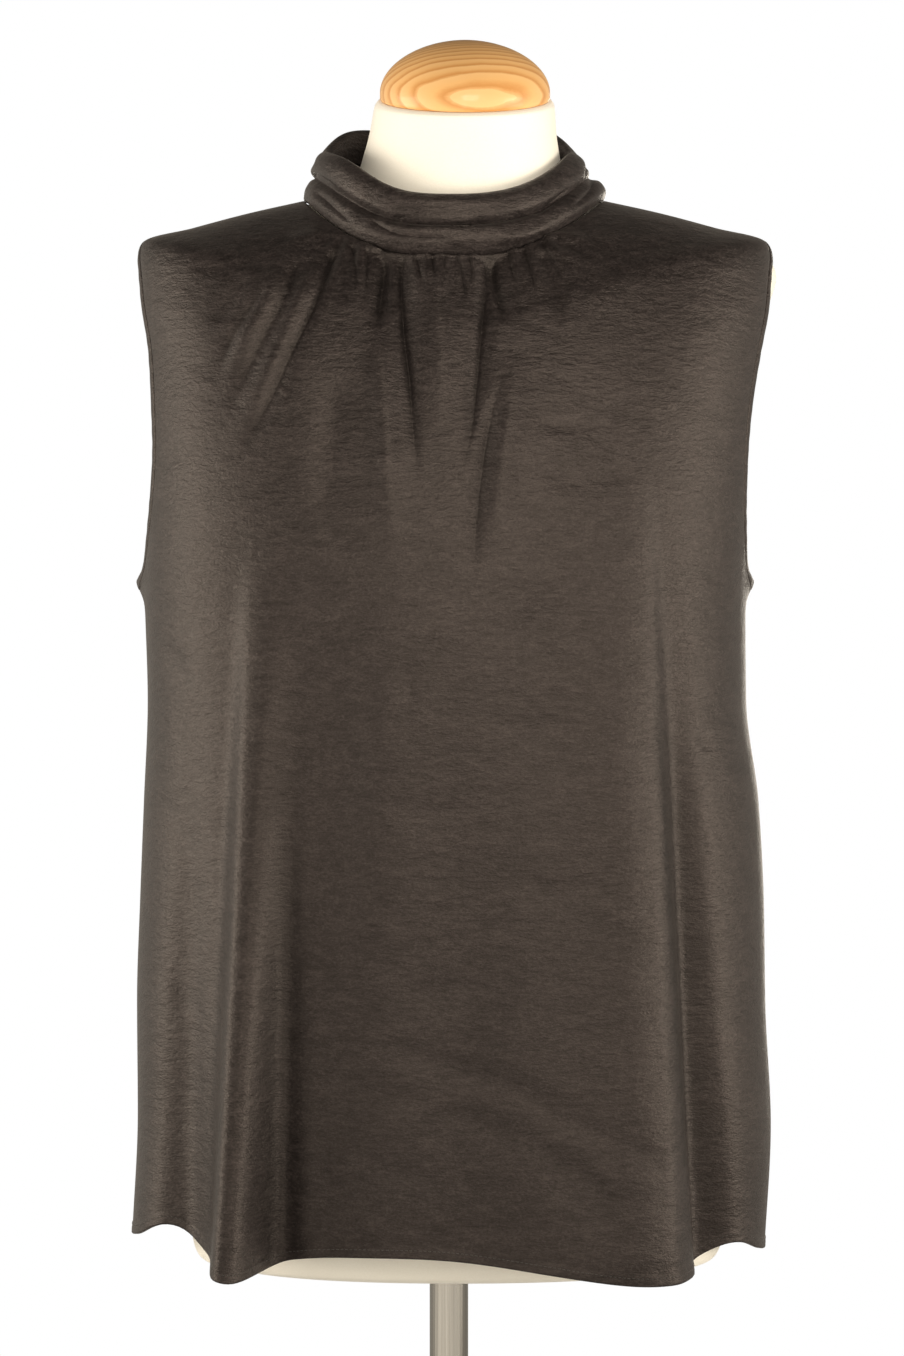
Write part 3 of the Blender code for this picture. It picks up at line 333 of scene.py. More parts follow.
# Narrow pinches and shaded flanks. The material also darkens the cloth there, as painted shade.
FRONT_PINCHES = (
    (2.2, 2.6, 1.3, 1.7, 0.01, 0.5,
     (-29, 1399), (-30, 1378), (-28, 1343), (-24, 1311), (-22, 1283), (-19, 1252), (-15, 1232)),
    (1.9, 2.2, 1, 1.7, 0.01, 0.4,
     (24, 1398), (23, 1374), (20, 1342), (17, 1308), (13, 1278), (4, 1242)),
    (1.9, 2.4, 0.8, 1.7, 0.35, 0.35, (33, 1318), (26, 1288), (20, 1255), (16, 1215), (15, 1186)),
    (1.7, 1.4, 1.4, 1.5, 0.02, 0.45,
     (-71, 1402), (-81, 1368), (-97, 1335), (-110, 1306), (-127, 1272), (-132, 1254)),
    (1.6, 1.4, 1.2, 1.5, 0.1, 0.45,
     (-94, 1396), (-103, 1368), (-117, 1340), (-128, 1316), (-136, 1296)),
    (1.5, 1.5, 1, 1.5, 0.2, 0.45, (-112, 1378), (-132, 1348), (-145, 1316)),
    (3.4, 2.6, 1.4, 1.8, 0.02, 0.35, (-38, 1400), (-42, 1376), (-44, 1358), (-46, 1344)),
    (2.4, 3.2, 1.4, 1.8, 0.02, 0.35, (27, 1399), (29, 1378), (33, 1362), (35, 1350)),
    tuck(1.5, 1.2, (-61, 1403), (-58, 1384), (-60, 1368)),
    tuck(1.4, 1.2, (-51, 1401), (-52, 1380), (-50, 1364)),
    tuck(1.3, 1.2, (-22, 1399), (-18, 1384), (-15, 1372)),
    tuck(1.3, 1.2, (-11, 1399), (-10, 1386), (-7, 1376)),
    tuck(1.2, 1, (-2, 1399), (-3, 1388), (0, 1380)),
    tuck(1.3, 1.2, (4, 1399), (8, 1382), (11, 1362)),
    tuck(1.3, 1.1, (12, 1399), (14, 1386), (13, 1374)),
    tuck(1.3, 1.2, (37, 1400), (40, 1384), (43, 1372)),
    tuck(1.4, 1.2, (47, 1402), (52, 1382), (54, 1366)),
    tuck(1.3, 1, (58, 1404), (66, 1390), (70, 1376)),
    tuck(1.3, 0.9, (68, 1408), (80, 1398), (90, 1390)),
    (2, 1.5, 1.2, 1.6, 0.25, 0.2,
     (126, 1150), (129, 1110), (133, 1060), (137, 990), (142, 900), (147, 810)),
    (9, 9, 1, 1.9, 0.5, 0.01, (-101, 1130), (-103, 1040), (-106, 940), (-109, 840), (-110, 765)),
    (5, 9, 0.8, 1.8, 0.4, 0.1, (134, 1160), (138, 1080), (142, 1000), (147, 900), (153, 800)),
    (1.4, 1.4, 0.7, 1.6, 0.35, 0.35, (36, 848), (58, 835), (80, 822)),
    (1.4, 1.4, 0.7, 1.6, 0.35, 0.35, (76, 833), (92, 819), (108, 806)),
)
BACK_CREASES = (
    (6, 8, 2, 1.5, 0.1, 0.5, (-24, 1432), (-40, 1396), (-66, 1356), (-88, 1316)),
    (8, 6, 1.8, 1.5, 0.1, 0.5, (30, 1430), (48, 1392), (70, 1350), (86, 1318)),
    (7, 7, -1.5, 1.8, 0.2, 0.5, (-52, 1420), (-76, 1386), (-98, 1350)),
    (7, 7, -1.4, 1.8, 0.2, 0.5, (58, 1418), (84, 1382), (104, 1344)),
    (10, 7, 1.6, 1.7, 0.3, 0.5, (-4, 1332), (-8, 1270), (-4, 1200), (2, 1130)),
    (9, 9, 1.4, 1.8, 0.3, 0.5, (52, 1290), (46, 1230), (50, 1160)),
    (10, 8, 1.5, 1.8, 0.3, 0.5, (-62, 1280), (-56, 1216), (-60, 1140)),
    faint(8, 1.1, (-90, 1210), (-54, 1196), (-20, 1204)),
    faint(7, 1, (24, 1186), (60, 1172), (98, 1182)),
    faint(8, 1, (-70, 1020), (-30, 1008), (6, 1014)),
    faint(7, 0.9, (30, 980), (64, 968), (96, 976)),
    (24, 24, -2, 2, 0.4, 0.4, (92, 1250), (96, 1150), (100, 1040)),
    (24, 24, 2, 2, 0.4, 0.4, (22, 1240), (26, 1150), (24, 1060)),
)
# On the collar a route is (degrees round from centre front, millimetres up from the seam).
COLLAR_CREASES = (
    (3, 2, 2.2, 1.3, 0.15, 0.3, (-34, 17), (-24, 11.5), (-14, 10), (-4, 9.5), (5, 11.5)),
    (2.2, 2.2, 1.7, 1.5, 0.3, 0.3, (0, 20.5), (5, 19.5), (11, 20.5)),
    (2.6, 2.6, 1.9, 1.4, 0.3, 0.3, (-70, 8), (-60, 11), (-48, 10), (-38, 7)),
    slouch(2.4, 2, (-88, 15), (-76, 21), (-62, 24), (-50, 27)),
    slouch(2.6, 2.2, (-104, 20), (-90, 26), (-76, 29)),
    (2.4, 2.4, 1.7, 1.4, 0.3, 0.3, (34, 18.5), (46, 22), (58, 26.5)),
    slouch(2.4, 1.9, (52, 10), (66, 12), (80, 17), (92, 18)),
    slouch(2.6, 2, (70, 23), (84, 27.5), (98, 28)),
    slouch(2.6, 2.2, (104, 9), (120, 14), (138, 13), (156, 16)),
    slouch(2.6, 2.2, (112, 24), (130, 27), (150, 25), (170, 28)),
    slouch(2.6, 2.2, (-112, 10), (-126, 15), (-146, 14), (-164, 17)),
    slouch(2.6, 2.2, (-118, 27), (-136, 24), (-156, 28), (-172, 26)),
    (3, 3, -1.4, 1.8, 0.3, 0.3, (-20, 25), (-4, 26), (16, 25.5)),
    (3, 3, -1.3, 1.8, 0.3, 0.3, (18, 7), (30, 6.5), (44, 6)),
)


CREASE_REACH = 3.2
LEAST_EASE = 1e-3
ROUTE_STEPS = 6


def route_points(route):
    """A smooth line through the route's points (Catmull-Rom)."""
    ends = np.array([route[0], *route, route[-1]], float)
    line = []
    for a, b, c, d in zip(ends, ends[1:], ends[2:], ends[3:]):
        for u in np.arange(ROUTE_STEPS) / ROUTE_STEPS:
            line.append(
                0.5 * (2 * b + (c - a) * u + (2 * a - 5 * b + 4 * c - d) * u**2
                       + (3 * b - a - 3 * c + d) * u**3)
            )
    line.append(ends[-1])
    return np.array(line)


def crease_depth(across, up, creases):
    """How deep the creases press in at these places. Lengths are in millimetres."""
    total = np.zeros(across.shape)
    for left, right, depth, sharp, ease_in, ease_out, *route in creases:
        line = route_points(route)
        reach = CREASE_REACH * max(left, right)
        low, high = line.min(0) - reach, line.max(0) + reach
        near = (across > low[0]) & (across < high[0]) & (up > low[1]) & (up < high[1])
        if not near.any():
            continue
        x, z = across[near], up[near]
        best = np.full(x.shape, np.inf)
        share = np.zeros(x.shape)
        side = np.ones(x.shape)
        lengths = np.linalg.norm(np.diff(line, axis=0), axis=1)
        before = np.concatenate([[0.0], np.cumsum(lengths)])
        for (ax, az), (bx, bz), size, start in zip(line, line[1:], lengths, before):
            ux, uz = (bx - ax) / size, (bz - az) / size
            along = np.clip((x - ax) * ux + (z - az) * uz, 0.0, size)
            off_x, off_z = x - ax - along * ux, z - az - along * uz
            distance = np.hypot(off_x, off_z)
            closer = distance < best
            best = np.where(closer, distance, best)
            share = np.where(closer, (start + along) / before[-1], share)
            side = np.where(closer, np.sign(off_x * -uz + off_z * ux), side)
        width = np.where(side < 0, left, right)
        fade_in = soft_step(share / max(ease_in, LEAST_EASE))
        fade = fade_in * soft_step((1.0 - share) / max(ease_out, LEAST_EASE))
        total[near] += depth * fade * np.exp(-((best / width) ** sharp))
    return total


def press_depth(points, creases):
    """The same for points in metres, seen from the front."""
    return 1e-3 * crease_depth(1e3 * points[..., 0], 1e3 * points[..., 2], creases)


# ---------------------------------------------------------------- section mathematics


def read_columns(names, rows):
    """The table's columns, by name."""
    return dict(zip(names, np.array(rows, float).T))


BLOUSE = read_columns(BLOUSE_COLUMNS, BLOUSE_RINGS)
TINY = 1e-12


def soft_step(value):
    value = np.clip(value, 0.0, 1.0)
    return value * value * (3.0 - 2.0 * value)


def smooth_between(stations, values, at):
    """Monotone cubic through the table's values, so that no section overshoots."""
    gaps = np.diff(stations)
    slopes = np.diff(values) / gaps
    tangents = np.zeros_like(values)
    before, after = slopes[:-1], slopes[1:]
    same_way = before * after > 0
    mean = 2.0 * before * after / np.where(same_way, before + after, 1.0)
    tangents[1:-1] = np.where(same_way, mean, 0.0)
    tangents[0], tangents[-1] = slopes[0], slopes[-1]
    at = np.clip(at, stations[0], stations[-1])
    i = np.clip(np.searchsorted(stations, at, side="right") - 1, 0, len(gaps) - 1)
    u = (at - stations[i]) / gaps[i]
    return (
        values[i] * (1 + 2 * u) * (1 - u) ** 2
        + values[i + 1] * u * u * (3 - 2 * u)
        + gaps[i] * tangents[i] * u * (1 - u) ** 2
        - gaps[i] * tangents[i + 1] * u * u * (1 - u)
    )


def ring_point(angle, left, right, front, back, z_front, z_side, z_back, square, rise):
    """A point on a ring. angle: 0 at centre front, +90 degrees at the right side."""
    sine, cosine = np.sin(angle), np.cos(angle)
    half = np.where(sine < 0, left, right)
    depth = np.where(cosine > 0, front, back)
    reach = (np.abs(sine / half) ** square + np.abs(cosine / depth) ** square) ** (-1.0 / square)
    end = np.where(cosine > 0, z_front, z_back)
    level = 1.0 - np.abs(cosine) * reach / depth
    share = np.where(rise > 0, np.abs(sine) ** rise, level)
    height = end + (z_side - end) * share
    return np.stack([reach * sine, -reach * cosine, height], axis=-1)


def arm_share(run):
    """How far up the armhole a run is, from 0 to 1."""
    return np.clip((run - RUN_UNDERARM) / (RUN_TIP - RUN_UNDERARM), 0.0, 1.0)


def arm_run(q):
    return RUN_UNDERARM + q * (RUN_TIP - RUN_UNDERARM)


def eased_steps(count):
    """Steps from 0 to 1, closest together at both ends."""
    return 0.5 - 0.5 * np.cos(np.linspace(0.0, math.pi, count))


def round_armhole(steps):
    """Stations up an armhole's front and down its back, as pairs of face and q."""
    return [(-1, q) for q in steps[:-1]] + [(1, q) for q in steps[:0:-1]]


def edge_angle(face, run):
    """Where a panel ends on a ring: the side line, or the armhole's edge."""
    q = arm_share(run)
    reach = ARM_REACH_FRONT if face < 0 else ARM_REACH_BACK
    arch = np.sin(math.pi * q**ARM_SKEW)
    return np.arccos(reach * np.clip(arch, 0.0, 1.0) ** ARM_ROUND)


def panel_angle(face, t, run):
    """The angle at t, from -1 to 1 across the panel. Only its outer part gives way."""
    given_up = 0.5 * math.pi - edge_angle(face, run)
    return 0.5 * math.pi * t - given_up * np.sign(t) * np.abs(t) ** ARM_EDGE_POWER


def ring_surface(face, angle, run):
    """The panel with no folds. face: -1 front, +1 back. angle: from its centre line."""
    ring = {name: smooth_between(BLOUSE["run"], BLOUSE[name], run) for name in BLOUSE_COLUMNS[1:]}
    point = ring_point(angle if face < 0 else np.pi - angle, **ring)
    nub = UNDERARM_NUB * np.exp(-(((run - RUN_UNDERARM) / NUB_RUN) ** 2))
    point[..., 0] += np.sign(angle) * nub * np.exp(-((np.cos(angle) / NUB_TURN) ** 2))
    tilt_fade = 1.0 - soft_step(run / HEM_TILT_RUN)
    point[..., 2] += HEM_TILT * point[..., 0] * tilt_fade
    return point


def unit(vector):
    return vector / np.maximum(np.linalg.norm(vector, axis=-1, keepdims=True), TINY)


SLOPE_STEP = 0.002
SLOPE_ANGLE = 0.004


def surface_slopes(face, angle, run):
    """How the point moves with the angle and with the run."""
    run = np.clip(run, SLOPE_STEP, RUN_NECK - SLOPE_STEP)
    turned_on = ring_surface(face, angle + SLOPE_ANGLE, run)
    turned_back = ring_surface(face, angle - SLOPE_ANGLE, run)
    above = ring_surface(face, angle, run + SLOPE_STEP)
    below = ring_surface(face, angle, run - SLOPE_STEP)
    turn = (turned_on - turned_back) / (2.0 * SLOPE_ANGLE)
    return turn, (above - below) / (2.0 * SLOPE_STEP)


def outward(face, angle, run):
    turn, climb = surface_slopes(face, angle, run)
    return unit(np.cross(turn, climb)) * -face


def armhole_steps(side, steps):
    """The way into the cloth at each step q up the armhole, front then back. Each row is
    q, then the change of the angle and of the run for a metre of that way."""
    places = [
        (face, side * edge_angle(face, arm_run(q)), arm_run(q)) for face, q in round_armhole(steps)
    ]
    edge = np.array([ring_surface(*place) for place in places])
    along = unit(np.roll(edge, -1, axis=0) - np.roll(edge, 1, axis=0))
    ways = {-1: [], 1: []}
    for (face, q), place, ahead in zip(round_armhole(steps), places, along):
        turn, climb = surface_slopes(*place)
        normal = unit(np.cross(turn, climb)) * -face
        if q in (0.0, 1.0):
            normal = unit(normal * (1, 0, 1))
        inward = unit(np.cross(ahead, normal)) * -side
        both = np.stack([turn, climb], axis=1)
        change = np.linalg.lstsq(both, inward, rcond=None)[0]
        if q in (0.0, 1.0):
            change = (0.0, change[1])
            ways[-face].append((q, *change))
        ways[face].append((q, *change))
    return {face: np.array(sorted(rows)) for face, rows in ways.items()}


ARM_WAYS = {side: armhole_steps(side, eased_steps(ARM_WAY_STATIONS)) for side in (-1, 1)}


def binding_way(face, side, run):
    """The way from the armhole's edge into the cloth, fading out on the seams beyond."""
    steps, turns, climbs = ARM_WAYS[side][face].T
    q = arm_share(run)
    beyond = np.maximum(RUN_UNDERARM - run, run - RUN_TIP)
    fade = 1.0 - soft_step(beyond / BINDING_FADE)
    return np.interp(q, steps, turns) * fade, np.interp(q, steps, climbs) * fade


def gather_depth(points):
    """How deep the gathers press into the front at these points."""
    total = np.zeros(points.shape[:-1])
    for row in GATHERS:
        gather = dict(zip(GATHER_COLUMNS, row))
        run_x, run_z = gather["x_low"] - gather["x_top"], gather["z_low"] - gather["z_top"]
        length = math.hypot(run_x, run_z)
        off_x, off_z = points[..., 0] - gather["x_top"], points[..., 2] - gather["z_top"]
        along = (off_x * run_x + off_z * run_z) / length**2
        across = (off_x * run_z - off_z * run_x) / length
        fade = np.clip(1.0 - along, 0.0, 1.0) ** GATHER_FADE
        fade = fade * soft_step(along * GATHER_TOP_EASE + 1.0)
        width = gather["width"] * (1.0 + GATHER_SPREAD * np.clip(along, 0.0, 1.0))
        total += gather["depth"] * fade * np.exp(-((across / width) ** 2))
    return total


def hem_fold_shift(face, points):
    """Sideways and forward movement of the folds that open towards the hem."""
    moved = np.zeros(points.shape)
    hem_z = BLOUSE["z_side"][0]
    for row in FRONT_FOLDS if face < 0 else BACK_FOLDS:
        fold = dict(zip(HEM_FOLD_COLUMNS, row))
        down = np.clip((fold["z_top"] - points[..., 2]) / (fold["z_top"] - hem_z), 0.0, 1.0)
        middle = fold["x_top"] + (fold["x_hem"] - fold["x_top"]) * down
        width = fold["width"] * (FOLD_TOP_WIDTH + (1 - FOLD_TOP_WIDTH) * down)
        off = points[..., 0] - middle
        leaning = off * fold["lean"] * fold["depth"] > 0
        share = np.abs(off) / (width * np.where(leaning, fold["steep"], 1.0))
        bell = np.exp(-(share ** fold["square"]))
        amount = fold["depth"] * down**FOLD_GROWTH * bell
        moved[..., 0] += amount * fold["lean"]
        moved[..., 1] += amount * face
    if face < 0:
        near_hem = 1.0 - soft_step((points[..., 2] - hem_z) / HEM_LEVEL_RISE)
        for row in FRONT_HEM_LEVELS:
            level = dict(zip(LEVEL_COLUMNS, row))
            bell = np.exp(-(((points[..., 0] - level["x"]) / level["width"]) ** 2))
            moved[..., 2] -= level["drop"] * near_hem * bell
    return moved


def panel_point(face, t, run):
    """A point of the front or back panel, halfway through its cloth."""
    t, run = np.broadcast_arrays(np.asarray(t, float), np.asarray(run, float))
    angle = panel_angle(face, t, run)
    weight = soft_step((np.abs(t) - BINDING_EASE) / (1.0 - BINDING_EASE))
    weight = weight * (BINDING_WIDTH - BINDING_LAP)
    left, right = binding_way(face, -1, run), binding_way(face, 1, run)
    angle = angle + weight * np.where(t < 0, left[0], right[0])
    run = run + weight * np.where(t < 0, left[1], right[1])
    points = ring_surface(face, angle, run)
    fade_start, fade_end = FOLDS_FADE
    free = (1.0 - soft_step((np.abs(t) - fade_start) / (fade_end - fade_start)))[..., None]
    moved = points + hem_fold_shift(face, points) * free
    if face < 0:
        depth = press_depth(points, FRONT_CREASES + FRONT_PINCHES) + gather_depth(points)
    else:
        depth = press_depth(points, BACK_CREASES)
    depth = depth * free[..., 0]
    most = NECK_PRESS + NECK_PRESS_GROWTH * np.maximum(RUN_NECK - run, 0.0)
    depth = np.where(depth > 0, most * np.tanh(depth / most), depth)
    curl = soft_step((np.abs(t) - SEAM_CURL_START) / (1.0 - SEAM_CURL_START))
    depth = depth + SEAM_CURL * curl
    moved -= outward(face, angle, run) * depth[..., None]
    seam = soft_step((np.abs(t) - SEAM_START) / (1.0 - SEAM_START))
    moved[..., 1] += face * 0.5 * SEAM_GAP * seam
    return moved


# ---------------------------------------------------------------- mesh making


def new_mesh_object(name, points, faces, material):
    """A smooth mesh from points and from lists of corner indices."""
    mesh = bpy.data.meshes.new(name)
    mesh.from_pydata(np.asarray(points, float).tolist(), [], [tuple(map(int, f)) for f in faces])
    mesh.shade_smooth()
    mesh.materials.append(material)
    obj = bpy.data.objects.new(name, mesh)
    bpy.context.scene.collection.objects.link(obj)
    return obj


def ready(piece, slot, *nodes):
    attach(piece, "root")
    if nodes:
        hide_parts(*nodes)
    return piece


def grid_normals(grid):
    """Unit normals of a grid of points, rows by columns."""
    down = np.gradient(grid, axis=0)
    across = np.gradient(grid, axis=1)
    return unit(np.cross(across, down))


def cloth_shell(name, grid, wall, material, skip, extra=0.0, cut=None, foot=None):
    """A thin closed shell round a grid of points. The side that its normals point to is
    the fine one; the other has every skip-th row.

    extra: more thickness at each point, on both sides, such as at a hem. cut: the first
    column after a slit that is open above the row called foot, and joined below it.
    """
    rows, columns = grid.shape[:2]
    thick = 0.5 * wall + np.broadcast_to(extra, (rows, columns))
    half = grid_normals(grid) * thick[..., None]
    keep = sorted({*range(0, rows - 1, skip), rows - 1} | ({foot} if cut else set()))
    points = np.concatenate([(grid + half).reshape(-1, 3), (grid - half)[keep].reshape(-1, 3)])
    outer = np.arange(rows * columns).reshape(rows, columns)
    inner = rows * columns + np.arange(len(keep) * columns).reshape(-1, columns)
    if cut:
        outer[: foot + 1, cut] = outer[: foot + 1, cut - 1]
        inner[: keep.index(foot) + 1, cut] = inner[: keep.index(foot) + 1, cut - 1]
    faces = []
    for c in range(columns - 1):
        if c + 1 == cut:
            continue
        faces += zip(outer[:-1, c], outer[:-1, c + 1], outer[1:, c + 1], outer[1:, c])
        faces += zip(inner[:-1, c + 1], inner[:-1, c], inner[1:, c], inner[1:, c + 1])
        faces.append((outer[0, c + 1], outer[0, c], inner[0, c], inner[0, c + 1]))
        faces.append((outer[-1, c], outer[-1, c + 1], inner[-1, c + 1], inner[-1, c]))
    sides = [(0, 0, 1), (columns - 1, 0, -1)]
    if cut:
        sides += [(cut - 1, foot, -1), (cut, foot, 1)]
    for column, first, way in sides:
        for k, (start, end) in enumerate(zip(keep, keep[1:])):
            if start >= first:
                edge = [*outer[start : end + 1, column], inner[k + 1, column], inner[k, column]]
                faces.append(tuple(edge[::way]))
    return new_mesh_object(name, points, faces, material)


def tube_faces(rings, sides):
    """Quads between rings of points that follow each other, and a face at each end."""
    order = np.arange(rings * sides).reshape(rings, sides)
    after = np.roll(order, -1, axis=1)
    quads = np.stack([order[:-1], after[:-1], after[1:], order[1:]], axis=-1)
    return [*quads.reshape(-1, 4), order[0, ::-1], order[-1]]


def looped_faces(points, sides):
    """Quads round a closed loop of rings, turned so that the mesh has a positive volume."""
    order = np.arange(len(points)).reshape(-1, sides)
    ahead = np.roll(order, -1, axis=0)
    quads = [order, ahead, np.roll(ahead, -1, axis=1), np.roll(order, -1, axis=1)]
    quads = np.stack(quads, axis=-1).reshape(-1, 4)
    a, b, c, d = (points[quads[:, k]] for k in range(4))
    volume = np.sum(a * (np.cross(b, c) + np.cross(c, d)))
    return quads[:, ::-1] if volume < 0 else quads


def full_turn(count):
    """Even angles round a circle."""
    return 2.0 * math.pi * np.arange(count) / count


def turned(name, profile, sides, material, tilt, place):
    """A solid of revolution from (radius, height) points, tipped and closed at its ends."""
    radius, height = np.array(profile).T[..., None]
    angles = full_turn(sides)
    x, y = radius * np.cos(angles), radius * np.sin(angles)
    tipped_y = y * math.cos(tilt) - height * math.sin(tilt)
    tipped_z = y * math.sin(tilt) + height * math.cos(tilt)
    points = np.stack([x, tipped_y, tipped_z], axis=-1).reshape(-1, 3) + place
    return new_mesh_object(name, points, tube_faces(len(profile), sides), material)


def spread(closer, count):
    """Positions from -1 to 1, closer together in each stretch of the table."""
    fine = np.linspace(-1.0, 1.0, 2001)
    density = np.ones_like(fine)
    for start, end, ease_in, ease_out, more in closer:
        density += more * soft_step((fine - start) / ease_in) * soft_step((end - fine) / ease_out)
    total = np.concatenate([[0.0], np.cumsum(0.5 * (density[1:] + density[:-1]))])
    return np.interp(np.linspace(0.0, total[-1], count), total, fine)


def arc_lengths(grid, axis):
    """Distance travelled along one axis of a grid, starting at 0."""
    steps = np.linalg.norm(np.diff(grid, axis=axis), axis=-1)
    start = np.zeros_like(np.take(steps, [0], axis=axis))
    return np.concatenate([start, np.cumsum(steps, axis=axis)], axis=axis)


def unit_tangents(line):
    """Unit tangents along an open line of points."""
    return unit(np.gradient(line, axis=0))


def thread_rim(radius, sides, across, out):
    """A circle of points round 0 for each pair of unit vectors."""
    angles = full_turn(sides)[:, None]
    return radius * (across[:, None] * np.cos(angles) + out[:, None] * np.sin(angles))


STITCH_LENGTH = 0.0021
STITCH_PITCH = 0.0029
STITCH_RADIUS = 0.00026
STITCH_LIFT = 0.0001
STITCH_SIDES = 6
STITCH_TAPER = 0.28


def stitch_row(name, line, normals, material):
    """Short threads that lie along a line on the cloth, each a six-sided grain."""
    length = arc_lengths(line[None], 1)[0]
    centres = np.arange(STITCH_PITCH, length[-1] - STITCH_PITCH, STITCH_PITCH)

    def sample(values):
        return np.array([np.interp(centres, length, column) for column in values.T]).T

    along, out = unit(sample(unit_tangents(line))), unit(sample(normals))
    place = (sample(line) + out * STITCH_LIFT)[:, None]
    rim = thread_rim(STITCH_RADIUS, STITCH_SIDES, unit(np.cross(along, out)), out)
    reach = STITCH_LENGTH * along[:, None]
    rows = [place - 0.5 * reach, place - STITCH_TAPER * reach + rim]
    rows += [place + STITCH_TAPER * reach + rim, place + 0.5 * reach]
    grains = np.concatenate(rows, axis=1)
    low = 1 + np.arange(STITCH_SIDES)
    high, tip = low + STITCH_SIDES, 1 + 2 * STITCH_SIDES
    low_after, high_after = np.roll(low, -1), np.roll(high, -1)
    grain = [(0, after, at) for at, after in zip(low, low_after)]
    grain += zip(low, low_after, high_after, high)
    grain += [(tip, at, after) for at, after in zip(high, high_after)]
    faces = [np.array(face) + (tip + 1) * k for k in range(len(grains)) for face in grain]
    return new_mesh_object(name, grains.reshape(-1, 3), faces, material)


# ---------------------------------------------------------------- materials


class Nodes:
    """The node tree of a material or a world, with short calls to add and join nodes."""

    def __init__(self, owner):
        owner.use_nodes = True
        self.owner = owner
        self.tree = owner.node_tree

    def feed(self, socket, value):
        """Joins another node's output to the socket, or sets a constant there."""
        if isinstance(value, bpy.types.NodeSocket):
            self.tree.links.new(value, socket)
        else:
            socket.default_value = value

    def add(self, kind, inputs=(), **settings):
        """A new node. inputs: pairs of a socket's name or number and what feeds it."""
        node = self.tree.nodes.new("ShaderNode" + kind)
        for key, value in settings.items():
            setattr(node, key, value)
        for key, value in inputs:
            self.feed(node.inputs[key], value)
        return node

    def math(self, operation, *values):
        return self.add("Math", enumerate(values), operation=operation).outputs["Value"]

    def vector(self, operation, *values, result="Vector"):
        return self.add("VectorMath", enumerate(values), operation=operation).outputs[result]

    def mixed(self, *shares):
        """The sum of some values, each times its share."""
        parts = [self.math("MULTIPLY", value, share) for value, share in shares]
        total = parts[0]
        for part in parts[1:]:
            total = self.math("ADD", total, part)
        return total

    def noise(self, scale, detail, roughness=0.55, distortion=0.0):
        """Noise on the object. scale: cycles a metre along X, Y and Z."""
        source = self.add("TexCoord").outputs["Object"]
        place = self.add("Mapping", (("Vector", source), ("Scale", scale))).outputs["Vector"]
        inputs = (("Vector", place), ("Scale", 1.0), ("Detail", detail))
        inputs += (("Roughness", roughness), ("Distortion", distortion))
        return self.add("TexNoise", inputs).outputs["Fac"]

    def ramp(self, factor, stops):
        """Colours between stops, which are pairs of a place and its colour."""
        node = self.add("ValToRGB", (("Fac", factor),))
        while len(node.color_ramp.elements) < len(stops):
            node.color_ramp.elements.new(0.5)
        for element, (place, colour) in zip(node.color_ramp.elements, stops):
            element.position = place
            element.color = (*colour, 1.0)
        return node.outputs["Color"]

    def span(self, factor, low, high, first=0.0):
        """Low to high, as the factor goes from first to 1."""
        inputs = (("Value", factor), ("From Min", first), ("To Min", low), ("To Max", high))
        return self.add("MapRange", inputs).outputs["Result"]

    def bump(self, height, distance, strength, after=None):
        """The normal that a height gives, laid on another bump's."""
        inputs = (("Height", height), ("Distance", distance), ("Strength", strength))
        if after is not None:
            inputs += (("Normal", after),)
        return self.add("Bump", inputs).outputs["Normal"]

    def finish(self, **values):
        """Feeds the material's shader, and gives the material."""
        shader = self.tree.nodes["Principled BSDF"]
        for key, value in values.items():
            self.feed(shader.inputs[key.replace("_", " ")], value)
        return self.owner


def new_material(name):
    return Nodes(bpy.data.materials.new(name))


# Tones by their place in each material's noise, as linear colours.
CREPE_TONES = (
    (0.40, (0.0056, 0.0041, 0.0041)),
    (0.50, (0.0160, 0.0125, 0.0123)),
    (0.60, (0.0360, 0.0285, 0.0272)),
)
THREAD_TONES = ((0.3, (0.016, 0.013, 0.012)), (0.7, (0.042, 0.034, 0.029)))
JERSEY_TONES = ((0.3, (0.90, 0.855, 0.765)), (0.7, (0.96, 0.925, 0.845)))
PINE_TONES = (
    (0.08, (0.82, 0.50, 0.22)),
    (0.50, (0.78, 0.44, 0.17)),
    (0.80, (0.60, 0.275, 0.080)),
    (0.95, (0.76, 0.43, 0.17)),
)
CHROME_TONES = ((0.3, (0.24, 0.228, 0.208)), (0.7, (0.30, 0.288, 0.268)))
FLOOR_TONES = ((0.3, (0.84, 0.84, 0.83)), (0.7, (0.88, 0.88, 0.87)))

# share: the noise's part in the tone. distance, strength: its bump.
CREPE_COLUMNS = ("scale", "detail", "roughness", "distortion", "share", "distance", "strength")
CREPE_NOISES = {
    "wide": ((32.0, 32.0, 75.0), 4.0, 0.55, 0.40, 0.15, 0.0024, 0.55),
    "crinkle": ((120.0, 120.0, 350.0), 5.0, 0.68, 0.20, 0.35, 0.0010, 0.80),
    "speck": ((560.0, 560.0, 900.0), 2.0, 0.60, 0.00, 0.35, 0.00045, 0.60),
    "thread": ((1500.0, 1500.0, 1900.0), 1.0, 0.50, 0.00, 0.15, 0.00012, 0.40),
}
# PINCH_SHADE: painted shade, how much darker the crepe's colour is at a full pinch.
PINCH_SHADE = 0.55
STRIP_SHADE = 0.92

# The pine's growth rings: their middle, their width and how far they wander.
PITH = (0.0035, 0.0120, 0.0)
RING_WIDTH = 0.0041
RING_WANDER = 0.007


